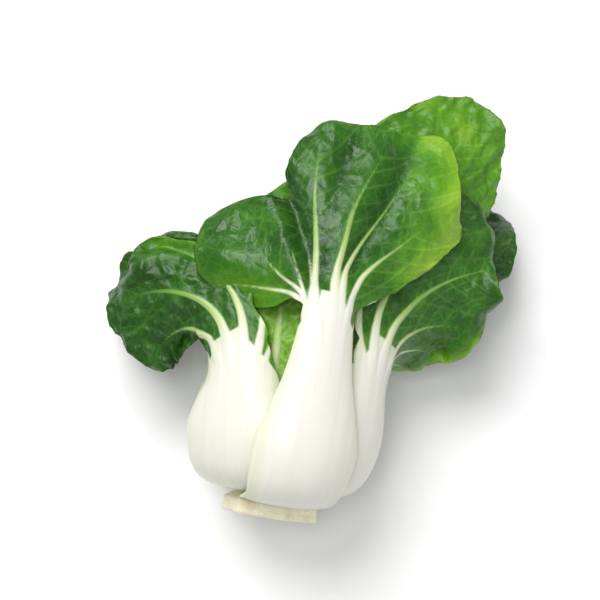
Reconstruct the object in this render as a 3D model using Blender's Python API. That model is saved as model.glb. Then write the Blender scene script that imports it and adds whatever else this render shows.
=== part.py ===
"""A short, white-stemmed bok choy lying on its side, as picked.

The head's axis runs along +Y and tips up a little towards the leaf end. Twelve leaves stand on a
cut butt in a golden-angle spiral, outermost first. Each leaf is one piece, from the foot of its
white stalk to the rim of its green blade, so each is one solid. The shapes are worked out in
millimetres and scaled to metres when the meshes are made.
"""

import math
from dataclasses import dataclass

import bpy
import numpy as np
from mathutils import Matrix

# The head
MM = 0.001
HEAD_TILT = 10.0  # degrees that the axis rises towards the leaf end
FIRST_LEAF_AT = 70.0  # degrees round the axis, from +X towards +Z
GOLDEN_ANGLE = 137.5

# The butt, measured along the axis from its cut face
SLAB_RADIUS = 16.4
SLAB_HEIGHT = 4.9
SLAB_CHAMFER = 0.8
CORE_FOOT_RADIUS = 14.0
CORE_TAPER = 0.79  # millimetres of radius lost for each millimetre up the core
CORE_TOP = 20.3
BUTT_SIDES = 36

# Where the leaves join the butt: each younger leaf starts further in and further up
FIRST_FOOT_RADIUS = 15.0
FOOT_STEP_IN = 0.95
FIRST_FOOT_HEIGHT = 6.8
FOOT_STEP_UP = 1.2

# A full-size stalk, as (distance along it, value)
FULL_NECK = 66.0
STALK_SLOPE = [(0, 96), (6, 84), (14, 45), (22, 18), (33, 0), (50, -3), (64, -2), (80, 0)]
WRAP_UNTIL = 16.0  # up to here a stalk's sides wrap round the head's axis, further on its own
FULL_BULB = 33.0  # where the stalk has come to its full swell
STALK_HALF_WIDTH = [(0, 15.0), (10, 19.5), (26, 22.5), (36, 18.8), (46, 14.4), (58, 11.4), (74, 9.2)]
TURN_BEFORE_NECK = 16.0  # the leaf starts to turn from its stalk's lie to its blade's this far below
TURN_LENGTH = 60.0
OPEN_BEFORE_NECK = 10.0  # and its sides start to open from the stalk's curl to the blade's here
OPEN_LENGTH = 60.0
UNWRAP_LENGTH = 24.0
DROOP_AFTER_NECK = 10.0
MIDRIB_HALF_WIDTH = [(74, 9.2), (88, 5.0), (112, 2.4), (150, 0.8)]
MIDDLE_THICKNESS = [(0, 2.1), (8, 3.6), (18, 6.0), (40, 6.0), (62, 5.0), (82, 3.4), (106, 2.0), (150, 1.3)]
EDGE_THICKNESS = [(0, 1.0), (20, 1.4), (60, 1.2), (150, 1.2)]
STALK_CURVE_RADIUS = [(0, 15.0), (26, 25.0), (50, 17.0), (66, 15.0)]
STALK_WRAP = 1.1  # radians that either side of a stalk may curl round
BLADE_WRAP = 0.48
RIB_FALL_OFF = 0.8  # how steeply a stalk or midrib thins from its middle to its sides

# How another leaf's lengths follow from its neck
BULB_LENGTH = 37.0  # its stalk comes to its full swell this far along
BULB_SHARE = 0.6  # or at this share of a short neck
BEYOND_NECK = 84.0  # this far past its neck all leaves keep the same step

# What an inner leaf's stalk would keep of a full one's size if it had no swell at all
LEAST_WIDTH = 0.35
LEAST_CURVE = 0.3
LEAST_THICKNESS = 0.4

# A blade's outline
WIDEST_AT = 0.42  # share of the blade's length where its cap begins
WIDENING = 0.5  # under 1 the blade widens soon after the neck
SHIFT_BEFORE_NECK = 12.0  # where a leaf's sweep and skew begin
SHIFT_LENGTH = 40.0

# The control grid of one leaf
STALK_ROWS = 10
STALK_ROW_SPREAD = 1.2  # over 1 the rows are closer together near the foot
WING_ROWS = 6
CAP_ROWS = 5
COLUMNS = 9
SPINE_STEP = 1.0

# How the leaves settle against each other and the table
CLEARANCE = 1.0
SETTLE_ROUNDS = 60
OVERSTEP = 1.2  # how much of each wanted move is made
CONTACT_DEPTH = 15.0
CONTACT_REACH = 7.0
FIRM_UNTIL = 2.0
FREE_FROM = 26.0


@dataclass(frozen=True)
class Leaf:
    """One leaf: millimetres and degrees. Yaw is the blade's direction seen from above, from +Y
    towards +X; roll turns the blade's outer face from up (0) towards its right (90)."""

    name: str
    swell: float  # radius of the stalk's middle line where the bulb is widest
    neck: float  # distance along the leaf where the blade begins
    length: float
    half_width: float
    yaw: float
    rise: float
    roll: float
    cup: float = 90.0  # radius that the blade curls round, towards its inner face
    droop: float = 0.0  # degrees that the outer part of the blade bends inwards
    sweep: float = 0.0  # how far the blade's sides reach back towards the butt
    skew: float = 0.0  # how far its right side stands further out than its middle
    shift: float = 0.0  # degrees that its place is turned round the axis from the spiral's
    broad: float = 1.0  # its stalk's width beside what its swell would make it


LEAVES = [
    Leaf(
        "top_outer_leaf", 30.0, 76, 148, 47, yaw=0, rise=-3, roll=3,
        cup=85, droop=12, sweep=6, skew=9, shift=2, broad=0.78,
    ),
    Leaf("bottom_outer_leaf", 29.0, 66, 136, 40, yaw=12, rise=-10, roll=180, cup=120),
    Leaf(
        "left_outer_leaf", 31.0, 57, 112, 27, yaw=-112, rise=-18, roll=-16,
        cup=60, droop=12, sweep=2, skew=-7, shift=-33, broad=1.16,
    ),
    Leaf(
        "right_outer_leaf", 29.5, 62, 116, 35.5, yaw=64, rise=-10, roll=17,
        cup=120, droop=8, sweep=10, skew=-14, shift=13, broad=0.95,
    ),
    Leaf(
        "lower_left_outer_leaf", 27.0, 60, 114, 32, yaw=-104, rise=-19, roll=-155,
        cup=90, shift=-22,
    ),
    Leaf("top_inner_leaf", 22.5, 36, 106, 28, yaw=-4, rise=1, roll=-8, cup=60, sweep=8),
    Leaf("lower_right_leaf", 22.5, 60, 134, 30, yaw=42, rise=-15, roll=156, cup=110),
    Leaf("left_inner_leaf", 22.0, 44, 94, 28, yaw=-24, rise=-2, roll=-60, cup=50),
    Leaf("upper_right_inner_leaf", 16.5, 56, 153, 30, yaw=29, rise=-1, roll=22, cup=60, droop=10),
    Leaf("bottom_inner_leaf", 14.0, 50, 116, 30, yaw=8, rise=-3, roll=180, cup=80),
    Leaf("heart_leaf_left", 11.0, 46, 90, 22, yaw=-4, rise=2, roll=-40, cup=35),
    Leaf("heart_leaf_right", 8.5, 44, 100, 22, yaw=8, rise=2, roll=84, cup=30),
]

# Finishes: a leaf's solid takes its blade's green
BUTT_CREAM = (0.78, 0.74, 0.55, 1.0)
BUTT_ROUGHNESS = 0.6
LEAF_ROUGHNESS = 0.35
OUTER_GREEN = (0.05, 0.19, 0.02, 1.0)
INNER_GREEN = (0.13, 0.33, 0.03, 1.0)
INNER_FROM = 5  # rank of the first leaf that is coloured as an inner one


def smoothstep(value):
    value = np.clip(value, 0.0, 1.0)
    return value * value * (3.0 - 2.0 * value)


def curve(points, at):
    """A smooth curve through the points that never overshoots them (monotone cubic)."""
    known, values = np.array(points, float).T
    widths = np.diff(known)
    slopes = np.diff(values) / widths
    tangents = np.zeros(len(known))
    tangents[0], tangents[-1] = slopes[0], slopes[-1]
    for i in range(1, len(known) - 1):
        if slopes[i - 1] * slopes[i] > 0:
            before, after = widths[i - 1], widths[i]
            tangents[i] = 3 * (before + after) / (
                (2 * after + before) / slopes[i - 1] + (after + 2 * before) / slopes[i]
            )
    at = np.clip(at, known[0], known[-1])
    i = np.clip(np.searchsorted(known, at, side="right") - 1, 0, len(widths) - 1)
    t = (at - known[i]) / widths[i]
    return (
        values[i] * (1 + 2 * t) * (1 - t) ** 2
        + tangents[i] * widths[i] * t * (1 - t) ** 2
        + values[i + 1] * t * t * (3 - 2 * t)
        + tangents[i + 1] * widths[i] * t * t * (t - 1)
    )


def head_axes():
    """The head's own axes: to the right, along the axis, and up from it."""
    tilt = math.radians(HEAD_TILT)
    along = np.array([0.0, math.cos(tilt), math.sin(tilt)])
    up = np.array([0.0, -math.sin(tilt), math.cos(tilt)])
    return np.array([1.0, 0.0, 0.0]), along, up


def frame_of(along, outward):
    """A turn whose columns are a leaf's sideways, lengthways and outward directions."""
    return Matrix(np.column_stack([np.cross(along, outward), along, outward]).tolist()).to_quaternion()


def blade_frame(leaf):
    yaw, rise, roll = (math.radians(angle) for angle in (leaf.yaw, leaf.rise, leaf.roll))
    along = np.array([math.sin(yaw) * math.cos(rise), math.cos(yaw) * math.cos(rise), math.sin(rise)])
    up = np.array([0.0, 0.0, 1.0]) - along[2] * along
    up /= np.linalg.norm(up)
    outward = math.cos(roll) * up + math.sin(roll) * np.cross(along, up)
    return frame_of(along, outward)


def spine_of(leaf, rank):
    """Distances along a leaf and, at each, its middle line and three directions: sideways, away
    from the line that its sides curl round, and outward from its surface."""
    right, axis, up = head_axes()
    angle = math.radians(FIRST_LEAF_AT - GOLDEN_ANGLE * rank + leaf.shift)
    radial = math.cos(angle) * right + math.sin(angle) * up
    foot = foot_radius(leaf)
    point = axis * (FIRST_FOOT_HEIGHT + FOOT_STEP_UP * rank) + radial * foot
    blade = blade_frame(leaf)
    distances = np.arange(0.0, leaf.length + 1.5 * SPINE_STEP, SPINE_STEP)
    slopes = np.radians(curve(STALK_SLOPE, full_place(leaf, distances)))
    swell = (leaf.swell - foot) / np.sin(slopes[distances < bulb_length(leaf)]).sum()
    progress = np.clip((distances - leaf.neck + TURN_BEFORE_NECK) / TURN_LENGTH, 0.0, 1.0)
    turns = (progress + smoothstep(progress)) / 2
    drooping = smoothstep((distances - leaf.neck - DROOP_AFTER_NECK) / (leaf.length - leaf.neck))
    droops = np.radians(leaf.droop) * drooping
    wraps = 1 - smoothstep((distances - WRAP_UNTIL) / WRAP_UNTIL)
    points, frames = [], []
    for slope, turn, droop, wrap in zip(slopes, turns, droops, wraps):
        slope = math.atan2(swell * math.sin(slope), math.cos(slope))
        along = math.cos(slope) * axis + math.sin(slope) * radial
        outward = math.cos(slope) * radial - math.sin(slope) * axis
        turned = np.array(frame_of(along, outward).slerp(blade, turn).to_matrix())
        sideways, along, outward = turned.T
        along, outward = (
            math.cos(droop) * along - math.sin(droop) * outward,
            math.cos(droop) * outward + math.sin(droop) * along,
        )
        points.append(point)
        frames.append((sideways, outward + wrap * (radial - outward), outward))
        point = point + along * SPINE_STEP
    return distances, np.array(points), np.array(frames)


def bulb_length(leaf):
    """How far along the leaf its stalk has come to its full swell."""
    return min(BULB_LENGTH, BULB_SHARE * leaf.neck)


def full_place(leaf, at):
    """Where a place along this leaf would be along a leaf whose neck is at FULL_NECK."""
    bulb = bulb_length(leaf)
    ends = (leaf.neck + BEYOND_NECK, FULL_NECK + BEYOND_NECK)
    return curve([(0.0, 0.0), (bulb, FULL_BULB), (leaf.neck, FULL_NECK), ends], at)


def foot_radius(leaf):
    return FIRST_FOOT_RADIUS - FOOT_STEP_IN * LEAVES.index(leaf)


def swell_size(leaf, least):
    """The leaf's size beside the first one's, going by how far out its stalk stands."""
    return least + (1 - least) * leaf.swell / LEAVES[0].swell


def stalk_size(leaf, at, least):
    """The same for a place along the stalk: its foot's size goes by where it joins the butt."""
    foot_size = foot_radius(leaf) / FIRST_FOOT_RADIUS
    return foot_size + (swell_size(leaf, least) - foot_size) * smoothstep(at / WRAP_UNTIL)


def half_width_of(leaf, at):
    """Half the leaf's width where its blade isn't yet rounding to the tip."""
    broad = 1 + (leaf.broad - 1) * smoothstep(at / WRAP_UNTIL)
    stalk = curve(STALK_HALF_WIDTH, full_place(leaf, at)) * stalk_size(leaf, at, LEAST_WIDTH) * broad
    widening = smoothstep((at - leaf.neck) / (widest_at(leaf) - leaf.neck)) ** WIDENING
    return stalk + (leaf.half_width - stalk) * widening


def widest_at(leaf):
    return leaf.neck + WIDEST_AT * (leaf.length - leaf.neck)


def outline_grid(leaf):
    """Grid of (across, along) places on the flattened leaf, its cap rounded like an ellipse."""
    across = np.linspace(-1.0, 1.0, COLUMNS)
    widest = widest_at(leaf)
    stalk_rows = leaf.neck * np.linspace(0.0, 1.0, STALK_ROWS + 1)[:-1] ** STALK_ROW_SPREAD
    wing_rows = np.linspace(leaf.neck, widest, WING_ROWS + 1)[:-1]
    cap_rows = np.linspace(0.0, 1.0, CAP_ROWS)
    straight = np.concatenate([stalk_rows, wing_rows])
    x = across[None, :] * half_width_of(leaf, straight)[:, None]
    y = np.repeat(straight[:, None], COLUMNS, axis=1)
    cap_x = across[None, :] * leaf.half_width * np.sqrt(1 - cap_rows[:, None] ** 2 / 2)
    cap_y = widest + (leaf.length - widest) * cap_rows[:, None] * np.sqrt(1 - across[None, :] ** 2 / 2)
    x, y = np.vstack([x, cap_x]), np.vstack([y, cap_y])
    side = x / leaf.half_width
    shift = leaf.skew * side - leaf.sweep * side**2
    return x, y + shift * smoothstep((y - leaf.neck + SHIFT_BEFORE_NECK) / SHIFT_LENGTH)


def surface_of(leaf, spine, x, y):
    """Points on the middle surface of the leaf, and which way is outward there."""
    distances, points, frames = spine

    def at_y(values):
        return np.stack([np.interp(y, distances, v) for v in values.T], axis=-1)

    centre = at_y(points)
    sideways, away, outward = (at_y(frames[:, i]) for i in range(3))
    radius = curve(STALK_CURVE_RADIUS, full_place(leaf, y))
    tightness = 1.0 / (radius * stalk_size(leaf, y, LEAST_CURVE))
    past = y - leaf.neck + OPEN_BEFORE_NECK
    curl = tightness + (1.0 / leaf.cup - tightness) * smoothstep(past / OPEN_LENGTH)
    most = STALK_WRAP + (BLADE_WRAP - STALK_WRAP) * smoothstep(past / UNWRAP_LENGTH)
    bend = np.minimum(curl * np.abs(x), most)
    straight = np.abs(x) - bend / curl
    across = np.sign(x) * (np.sin(bend) / curl + straight * np.cos(bend))
    inward = (1 - np.cos(bend)) / curl + straight * np.sin(bend)
    return centre + sideways * across[..., None] - away * inward[..., None], outward


def half_thickness_of(leaf, x, y):
    full_y = full_place(leaf, y)
    on_stalk = full_y < MIDRIB_HALF_WIDTH[0][0]
    rib = np.where(on_stalk, half_width_of(leaf, y), curve(MIDRIB_HALF_WIDTH, full_y))
    rib = np.minimum(rib, curve(STALK_HALF_WIDTH, full_y) * leaf.broad)
    edge = curve(EDGE_THICKNESS, full_y)
    middle = curve(MIDDLE_THICKNESS, full_y) * swell_size(leaf, LEAST_THICKNESS)
    middle = np.maximum(middle, edge)
    hump = np.clip(1 - (x / rib) ** 2, 0, 1) ** RIB_FALL_OFF
    return (edge + (middle - edge) * hump) / 2


def normals_of(points, outward):
    """Unit normals of a grid of points, on the side that outward is on."""
    normal = np.cross(np.gradient(points, axis=1), np.gradient(points, axis=0))
    normal /= np.linalg.norm(normal, axis=-1, keepdims=True) + 1e-9
    return normal * np.sign(np.sum(normal * outward, axis=-1, keepdims=True))


def halves(count):
    """Matrix that adds the midpoint between each two neighbours of a row."""
    matrix = np.zeros((2 * count - 1, count))
    for i in range(count):
        matrix[2 * i, i] = 1.0
    for i in range(count - 1):
        matrix[2 * i + 1, i] = matrix[2 * i + 1, i + 1] = 0.5
    return matrix


def smoothed(field, rounds):
    """The field with each value drawn towards its neighbours on the grid."""
    for _ in range(rounds):
        padded = np.pad(field, ((1, 1), (1, 1), (0, 0)), mode="edge")
        ring = padded[:-2, 1:-1] + padded[2:, 1:-1] + padded[1:-1, :-2] + padded[1:-1, 2:]
        field = (field + ring / 4) / 2
    return field


def settle(grids, outwards, half_thickness, freedom):
    """Move the leaves' middle surfaces until each younger leaf lies inside the older ones, with
    room for their thickness, and no blade is below the bulb. Arrays run over leaf, row, column."""
    count, rows, columns = freedom.shape
    up_rows, up_columns = halves(rows), halves(columns)

    def refine(field):
        return np.einsum("ir,krc...,jc->kij...", up_rows, field, up_columns)

    def gather(field):
        return np.einsum("ir,kij...,jc->krc...", up_rows, field, up_columns)

    share = gather(np.ones((count, 2 * rows - 1, 2 * columns - 1)))[..., None]
    thick = refine(half_thickness).reshape(count, -1)
    free = refine(freedom).reshape(count, -1)
    table = (grids[..., 2] - half_thickness)[:, :STALK_ROWS].min()
    moved = np.zeros_like(grids)
    for turn in range(SETTLE_ROUNDS):
        shapes = grids + moved
        normals = np.stack([normals_of(*pair) for pair in zip(shapes, outwards)])
        normals = refine(normals).reshape(count, -1, 3)
        samples = refine(shapes).reshape(count, -1, 3)
        push, hits = np.zeros_like(samples), np.full(free.shape, 1e-6)
        for a in range(count):
            for b in range(a + 1, count):
                press_apart(a, b, samples, normals, thick, free, push, hits)
        mean = (push / hits[..., None]).reshape(count, 2 * rows - 1, 2 * columns - 1, 3)
        step = gather(mean) / share * freedom[..., None]
        early = turn < SETTLE_ROUNDS // 2
        for k in range(count):
            moved[k] += OVERSTEP * smoothed(step[k], 3 if early else 1)
        moved[..., 2] += np.maximum(table + half_thickness - (grids + moved)[..., 2], 0.0)
        if early:
            moved = np.stack([smoothed(field, 1) for field in moved])
    return grids + moved


def press_apart(a, b, samples, normals, thick, free, push, hits):
    """Note how far leaf a should move out and leaf b in, where they are too close."""
    low, high = samples[a].min(axis=0) - CONTACT_REACH, samples[a].max(axis=0) + CONTACT_REACH
    near = np.flatnonzero(((samples[b] > low) & (samples[b] < high)).all(axis=1))
    if not len(near):
        return
    apart_squared = (samples[a] ** 2).sum(axis=1) - 2 * samples[b][near] @ samples[a].T
    nearest = np.argmin(apart_squared, axis=1)
    apart = samples[b][near] - samples[a][nearest]
    normal = normals[a][nearest]
    gap = np.einsum("ij,ij->i", apart, normal)
    aside = np.linalg.norm(apart - gap[:, None] * normal, axis=1)
    excess = gap + thick[a][nearest] + thick[b][near] + CLEARANCE
    hit = (excess > 0) & (gap < CONTACT_DEPTH) & (aside < CONTACT_REACH)
    near, nearest, excess, normal = near[hit], nearest[hit], excess[hit], normal[hit]
    total = free[a][nearest] + free[b][near] + 1e-6
    np.add.at(push[a], nearest, normal * (excess * free[a][nearest] / total)[:, None])
    np.add.at(hits[a], nearest, 1.0)
    np.add.at(push[b], near, -normal * (excess * free[b][near] / total)[:, None])
    np.add.at(hits[b], near, 1.0)


def settled_leaves():
    """The leaves' middle surfaces, normals and half thicknesses on their control grids."""
    grids, outwards, halves_thick, freedom = [], [], [], []
    for rank, leaf in enumerate(LEAVES):
        x, y = outline_grid(leaf)
        points, outward = surface_of(leaf, spine_of(leaf, rank), x, y)
        grids.append(points)
        outwards.append(outward)
        halves_thick.append(half_thickness_of(leaf, x, y))
        freedom.append(smoothstep((y - FIRM_UNTIL) / (FREE_FROM - FIRM_UNTIL)))
    grids, outwards = np.stack(grids), np.stack(outwards)
    halves_thick, freedom = np.stack(halves_thick), np.stack(freedom)
    grids = settle(grids, outwards, halves_thick, freedom)
    normals = np.stack([normals_of(*pair) for pair in zip(grids, outwards)])
    return grids, normals, halves_thick


def leaf_shell(points, normals, half_thickness):
    """Vertices and faces of a leaf: an outer and an inner skin, joined round the rim."""
    rows, columns = half_thickness.shape
    offset = normals * half_thickness[..., None]
    vertices = np.concatenate([(points + offset).reshape(-1, 3), (points - offset).reshape(-1, 3)])
    index = np.arange(rows * columns).reshape(rows, columns)
    inner = rows * columns
    faces = []
    for r in range(rows - 1):
        for c in range(columns - 1):
            near, beside, across, after = index[r, c], index[r, c + 1], index[r + 1, c + 1], index[r + 1, c]
            for face in ([near, beside, across], [near, across, after]):
                faces.append(face)
                faces.append([inner + i for i in reversed(face)])
    rim = list(index[0, :]) + list(index[1:, -1]) + list(index[-1, -2::-1]) + list(index[-2:0:-1, 0])
    for here, there in zip(rim, rim[1:] + rim[:1]):
        faces.append([there, here, inner + here, inner + there])
    return vertices, [[int(i) for i in face] for face in faces]


def butt_shell():
    """Vertices and faces of the cut butt: a slab with a tapering core, turned about the axis."""
    right, axis, up = head_axes()
    core_top_radius = CORE_FOOT_RADIUS - CORE_TAPER * (CORE_TOP - SLAB_HEIGHT)
    profile = [
        (0.0, SLAB_RADIUS - SLAB_CHAMFER),
        (SLAB_CHAMFER, SLAB_RADIUS),
        (SLAB_HEIGHT - SLAB_CHAMFER, SLAB_RADIUS),
        (SLAB_HEIGHT, CORE_FOOT_RADIUS),
        (CORE_TOP, core_top_radius),
    ]
    turns = np.arange(BUTT_SIDES) * 2 * math.pi / BUTT_SIDES
    ring = np.cos(turns)[:, None] * right + np.sin(turns)[:, None] * up
    vertices = np.concatenate([axis * height + ring * radius for height, radius in profile])
    faces = [[int(i) for i in range(BUTT_SIDES)]]
    for level in range(len(profile) - 1):
        for i in range(BUTT_SIDES):
            j = (i + 1) % BUTT_SIDES
            low, high = level * BUTT_SIDES, (level + 1) * BUTT_SIDES
            faces.append([low + j, low + i, high + i, high + j])
    last = (len(profile) - 1) * BUTT_SIDES
    faces.append([last + i for i in reversed(range(BUTT_SIDES))])
    return vertices, faces


def material(name, colour, roughness):
    made = bpy.data.materials.new(name)
    made.use_nodes = True
    shader = made.node_tree.nodes["Principled BSDF"]
    shader.inputs["Base Color"].default_value = colour
    shader.inputs["Roughness"].default_value = roughness
    return made


def add_object(name, vertices, faces, origin, finish):
    mesh = bpy.data.meshes.new(name)
    mesh.from_pydata(((vertices - origin) * MM).tolist(), [], faces)
    mesh.materials.append(finish)
    mesh.shade_smooth()
    made = bpy.data.objects.new(name, mesh)
    bpy.context.scene.collection.objects.link(made)
    return made


def main():
    for old in list(bpy.data.objects):
        bpy.data.objects.remove(old)
    grids, normals, halves_thick = settled_leaves()
    shells = [leaf_shell(*parts) for parts in zip(grids, normals, halves_thick)]
    shells.append(butt_shell())
    everything = np.concatenate([vertices for vertices, _ in shells])
    low, high = everything.min(axis=0), everything.max(axis=0)
    origin = np.array([(low[0] + high[0]) / 2, (low[1] + high[1]) / 2, low[2]])
    names = [leaf.name for leaf in LEAVES] + ["butt"]
    for rank, (name, (vertices, faces)) in enumerate(zip(names, shells)):
        if name == "butt":
            finish = material(name, BUTT_CREAM, BUTT_ROUGHNESS)
        else:
            green = OUTER_GREEN if rank < INNER_FROM else INNER_GREEN
            finish = material(name, green, LEAF_ROUGHNESS)
        add_object(name, vertices, faces, origin, finish)


main()
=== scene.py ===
"""Looks of a short, white-stemmed bok choy lying on its side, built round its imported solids.

Each leaf's solid is replaced by a fine shell on the same middle surface, which is worked out here
by the same formulas as the solid's. On it come ribs that fan out of the stalk, side veins,
puckers between them, and ruffled, curled margins. The butt is turned, with an uneven rim and a
fibrous cut face. Lengths are in millimetres until the meshes are made.
"""

import math
from dataclasses import dataclass

import bpy
import numpy as np
from mathutils import Matrix, Vector


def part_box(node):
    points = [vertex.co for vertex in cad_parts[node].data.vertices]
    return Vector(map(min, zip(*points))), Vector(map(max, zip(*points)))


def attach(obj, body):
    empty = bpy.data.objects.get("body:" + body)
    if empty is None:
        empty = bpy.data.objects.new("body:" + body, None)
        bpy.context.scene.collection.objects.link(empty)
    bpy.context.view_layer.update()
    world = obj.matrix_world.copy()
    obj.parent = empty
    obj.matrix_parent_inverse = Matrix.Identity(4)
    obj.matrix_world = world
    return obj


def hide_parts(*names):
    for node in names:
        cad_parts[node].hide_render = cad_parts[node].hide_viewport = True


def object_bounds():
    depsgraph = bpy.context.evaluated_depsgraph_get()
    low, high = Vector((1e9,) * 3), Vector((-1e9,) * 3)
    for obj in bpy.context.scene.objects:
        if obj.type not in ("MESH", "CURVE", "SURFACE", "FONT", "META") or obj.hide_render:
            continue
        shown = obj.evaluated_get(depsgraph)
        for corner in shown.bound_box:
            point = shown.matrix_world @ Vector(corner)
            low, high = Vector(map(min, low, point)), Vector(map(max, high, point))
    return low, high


MM = 0.001

# The head, as in the solids
HEAD_TILT = 10.0
FIRST_LEAF_AT = 70.0
GOLDEN_ANGLE = 137.5
FIRST_FOOT_RADIUS = 15.0
FOOT_STEP_IN = 0.95
FIRST_FOOT_HEIGHT = 6.8
FOOT_STEP_UP = 1.2
FULL_NECK = 66.0
STALK_SLOPE = [(0, 96), (6, 84), (14, 45), (22, 18), (33, 0), (50, -3), (64, -2), (80, 0)]
WRAP_UNTIL = 16.0
FULL_BULB = 33.0
BULB_LENGTH = 37.0
BULB_SHARE = 0.6
BEYOND_NECK = 84.0
STALK_HALF_WIDTH = [(0, 15.0), (10, 19.5), (26, 22.5), (36, 18.8), (46, 14.4), (58, 11.4), (74, 9.2)]
TURN_BEFORE_NECK = 16.0
TURN_LENGTH = 60.0
OPEN_BEFORE_NECK = 10.0
OPEN_LENGTH = 60.0
UNWRAP_LENGTH = 24.0
DROOP_AFTER_NECK = 10.0
MIDRIB_HALF_WIDTH = [(74, 9.2), (88, 5.0), (112, 2.4), (150, 0.8)]
MIDDLE_THICKNESS = [(0, 2.1), (8, 3.6), (18, 6.0), (40, 6.0), (62, 5.0), (82, 3.4), (106, 2.0), (150, 1.3)]
EDGE_THICKNESS = [(0, 1.0), (20, 1.4), (60, 1.2), (150, 1.2)]
STALK_CURVE_RADIUS = [(0, 15.0), (26, 25.0), (50, 17.0), (66, 15.0)]
STALK_WRAP = 1.1
BLADE_WRAP = 0.48
RIB_FALL_OFF = 0.8
LEAST_WIDTH = 0.35
LEAST_CURVE = 0.3
LEAST_THICKNESS = 0.4
WIDEST_AT = 0.42
WIDENING = 0.5
SHIFT_BEFORE_NECK = 12.0
SHIFT_LENGTH = 40.0
MOST_CAP = 1.3  # how far a lobe may take the cap, its own length being 1
STALK_ROWS = 10
STALK_ROW_SPREAD = 1.2
WING_ROWS = 6
CAP_ROWS = 5
COLUMNS = 9
SPINE_STEP = 1.0
SPINE_OVERRUN = 12.0  # for lobes that reach past the length
CLEARANCE = 1.0
SETTLE_ROUNDS = 60
OVERSTEP = 1.2
CONTACT_DEPTH = 15.0
CONTACT_REACH = 7.0
FIRM_UNTIL = 2.0
FREE_FROM = 26.0

# The fine shells
GRID_STEP = 0.8
LAMINA = 0.7  # a blade's thickness between its veins
RIM = 0.35  # and at its very edge


@dataclass(frozen=True)
class Leaf:
    """One leaf's shape, as in the solids: millimetres and degrees."""

    name: str
    swell: float
    neck: float
    length: float
    half_width: float
    yaw: float
    rise: float
    roll: float
    cup: float = 90.0
    droop: float = 0.0
    sweep: float = 0.0
    skew: float = 0.0
    shift: float = 0.0  # degrees that its place is turned round the axis from the spiral's
    broad: float = 1.0  # its stalk's width beside what its swell would make it


LEAVES = [
    Leaf(
        "top_outer_leaf", 30.0, 76, 148, 47, yaw=0, rise=-3, roll=3,
        cup=85, droop=12, sweep=6, skew=9, shift=2, broad=0.78,
    ),
    Leaf("bottom_outer_leaf", 29.0, 66, 136, 40, yaw=12, rise=-10, roll=180, cup=120),
    Leaf(
        "left_outer_leaf", 31.0, 57, 112, 27, yaw=-112, rise=-18, roll=-16,
        cup=60, droop=12, sweep=2, skew=-7, shift=-33, broad=1.16,
    ),
    Leaf(
        "right_outer_leaf", 29.5, 62, 116, 35.5, yaw=64, rise=-10, roll=17,
        cup=120, droop=8, sweep=10, skew=-14, shift=13, broad=0.95,
    ),
    Leaf(
        "lower_left_outer_leaf", 27.0, 60, 114, 32, yaw=-104, rise=-19, roll=-155,
        cup=90, shift=-22,
    ),
    Leaf("top_inner_leaf", 22.5, 36, 106, 28, yaw=-4, rise=1, roll=-8, cup=60, sweep=8),
    Leaf("lower_right_leaf", 22.5, 60, 134, 30, yaw=42, rise=-15, roll=156, cup=110),
    Leaf("left_inner_leaf", 22.0, 44, 94, 28, yaw=-24, rise=-2, roll=-60, cup=50),
    Leaf("upper_right_inner_leaf", 16.5, 56, 153, 30, yaw=29, rise=-1, roll=22, cup=60, droop=10),
    Leaf("bottom_inner_leaf", 14.0, 50, 116, 30, yaw=8, rise=-3, roll=180, cup=80),
    Leaf("heart_leaf_left", 11.0, 46, 90, 22, yaw=-4, rise=2, roll=-40, cup=35),
    Leaf("heart_leaf_right", 8.5, 44, 100, 22, yaw=8, rise=2, roll=84, cup=30),
]


@dataclass(frozen=True)
class Look:
    """How a leaf's surface differs from the others'."""

    slot: str
    tone: float  # 0 is the darkest green, 1 is yellow-green
    crinkle: float  # height of the puckers
    ruffle: float  # how tightly its margin curls to and fro, in radians per millimetre
    tint: float = 0.2  # how green its stalk is
    ribs: int = 3  # pairs of ribs beside the midrib
    lobes: tuple = ()  # its outline as (direction from the blade's middle, distance), left to right
    drawn_ribs: tuple = ()  # its ribs as (size, points), where they aren't fanned by a formula
    folds: tuple = ()  # creases as (points, depth, reach, step): see crease
    # Lighter green areas as (how much, across, past the neck, in from the margin): each of the last
    # three is a pair, the area growing from nothing at the first to full at the second, or None
    light: tuple = ()


# Direction in degrees from the tip, clockwise, and distance from the middle of the blade
FRONT_LOBES = (
    (-158, 31), (-147, 37), (-135, 43.5), (-126, 48), (-116, 50), (-105, 49.5), (-96, 48), (-89, 43),
    (-82, 32), (-75, 21), (-63, 23), (-49, 27.5), (-35, 32), (-22, 35), (-10, 36), (3, 36.5),
    (13, 36.5), (21, 39), (28, 43), (34, 46.5), (41, 48), (50, 46.5), (63, 43), (73, 42),
    (81, 43.5), (90, 40), (105, 35), (124, 30), (146, 27.5),
)
LEFT_LOBES = (
    (-150, 16), (-125, 17), (-105, 19), (-90, 22.5), (-75, 27.5), (-60, 33), (-48, 36.5),
    (-33, 36), (-22, 36), (-10, 36.5), (2, 35), (12, 30), (22, 25), (35, 24), (50, 24),
    (65, 21), (80, 19), (100, 18), (125, 18), (150, 19),
)
RIGHT_LOBES = (
    (0, 31), (20, 32), (38, 32), (55, 31), (75, 31), (92, 31), (104, 33), (116, 36), (128, 37), (138, 34),
    (148, 29), (156, 25),
)
UNDER_LEFT_LOBES = (
    (-150, 17), (-120, 18), (-90, 20), (-60, 21), (-30, 25), (0, 30), (30, 33), (60, 36), (90, 37),
    (115, 36), (140, 30), (155, 24),
)
SMALL_LOBES = ((-95, 22), (-50, 25), (0, 28), (50, 25), (95, 22))

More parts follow.
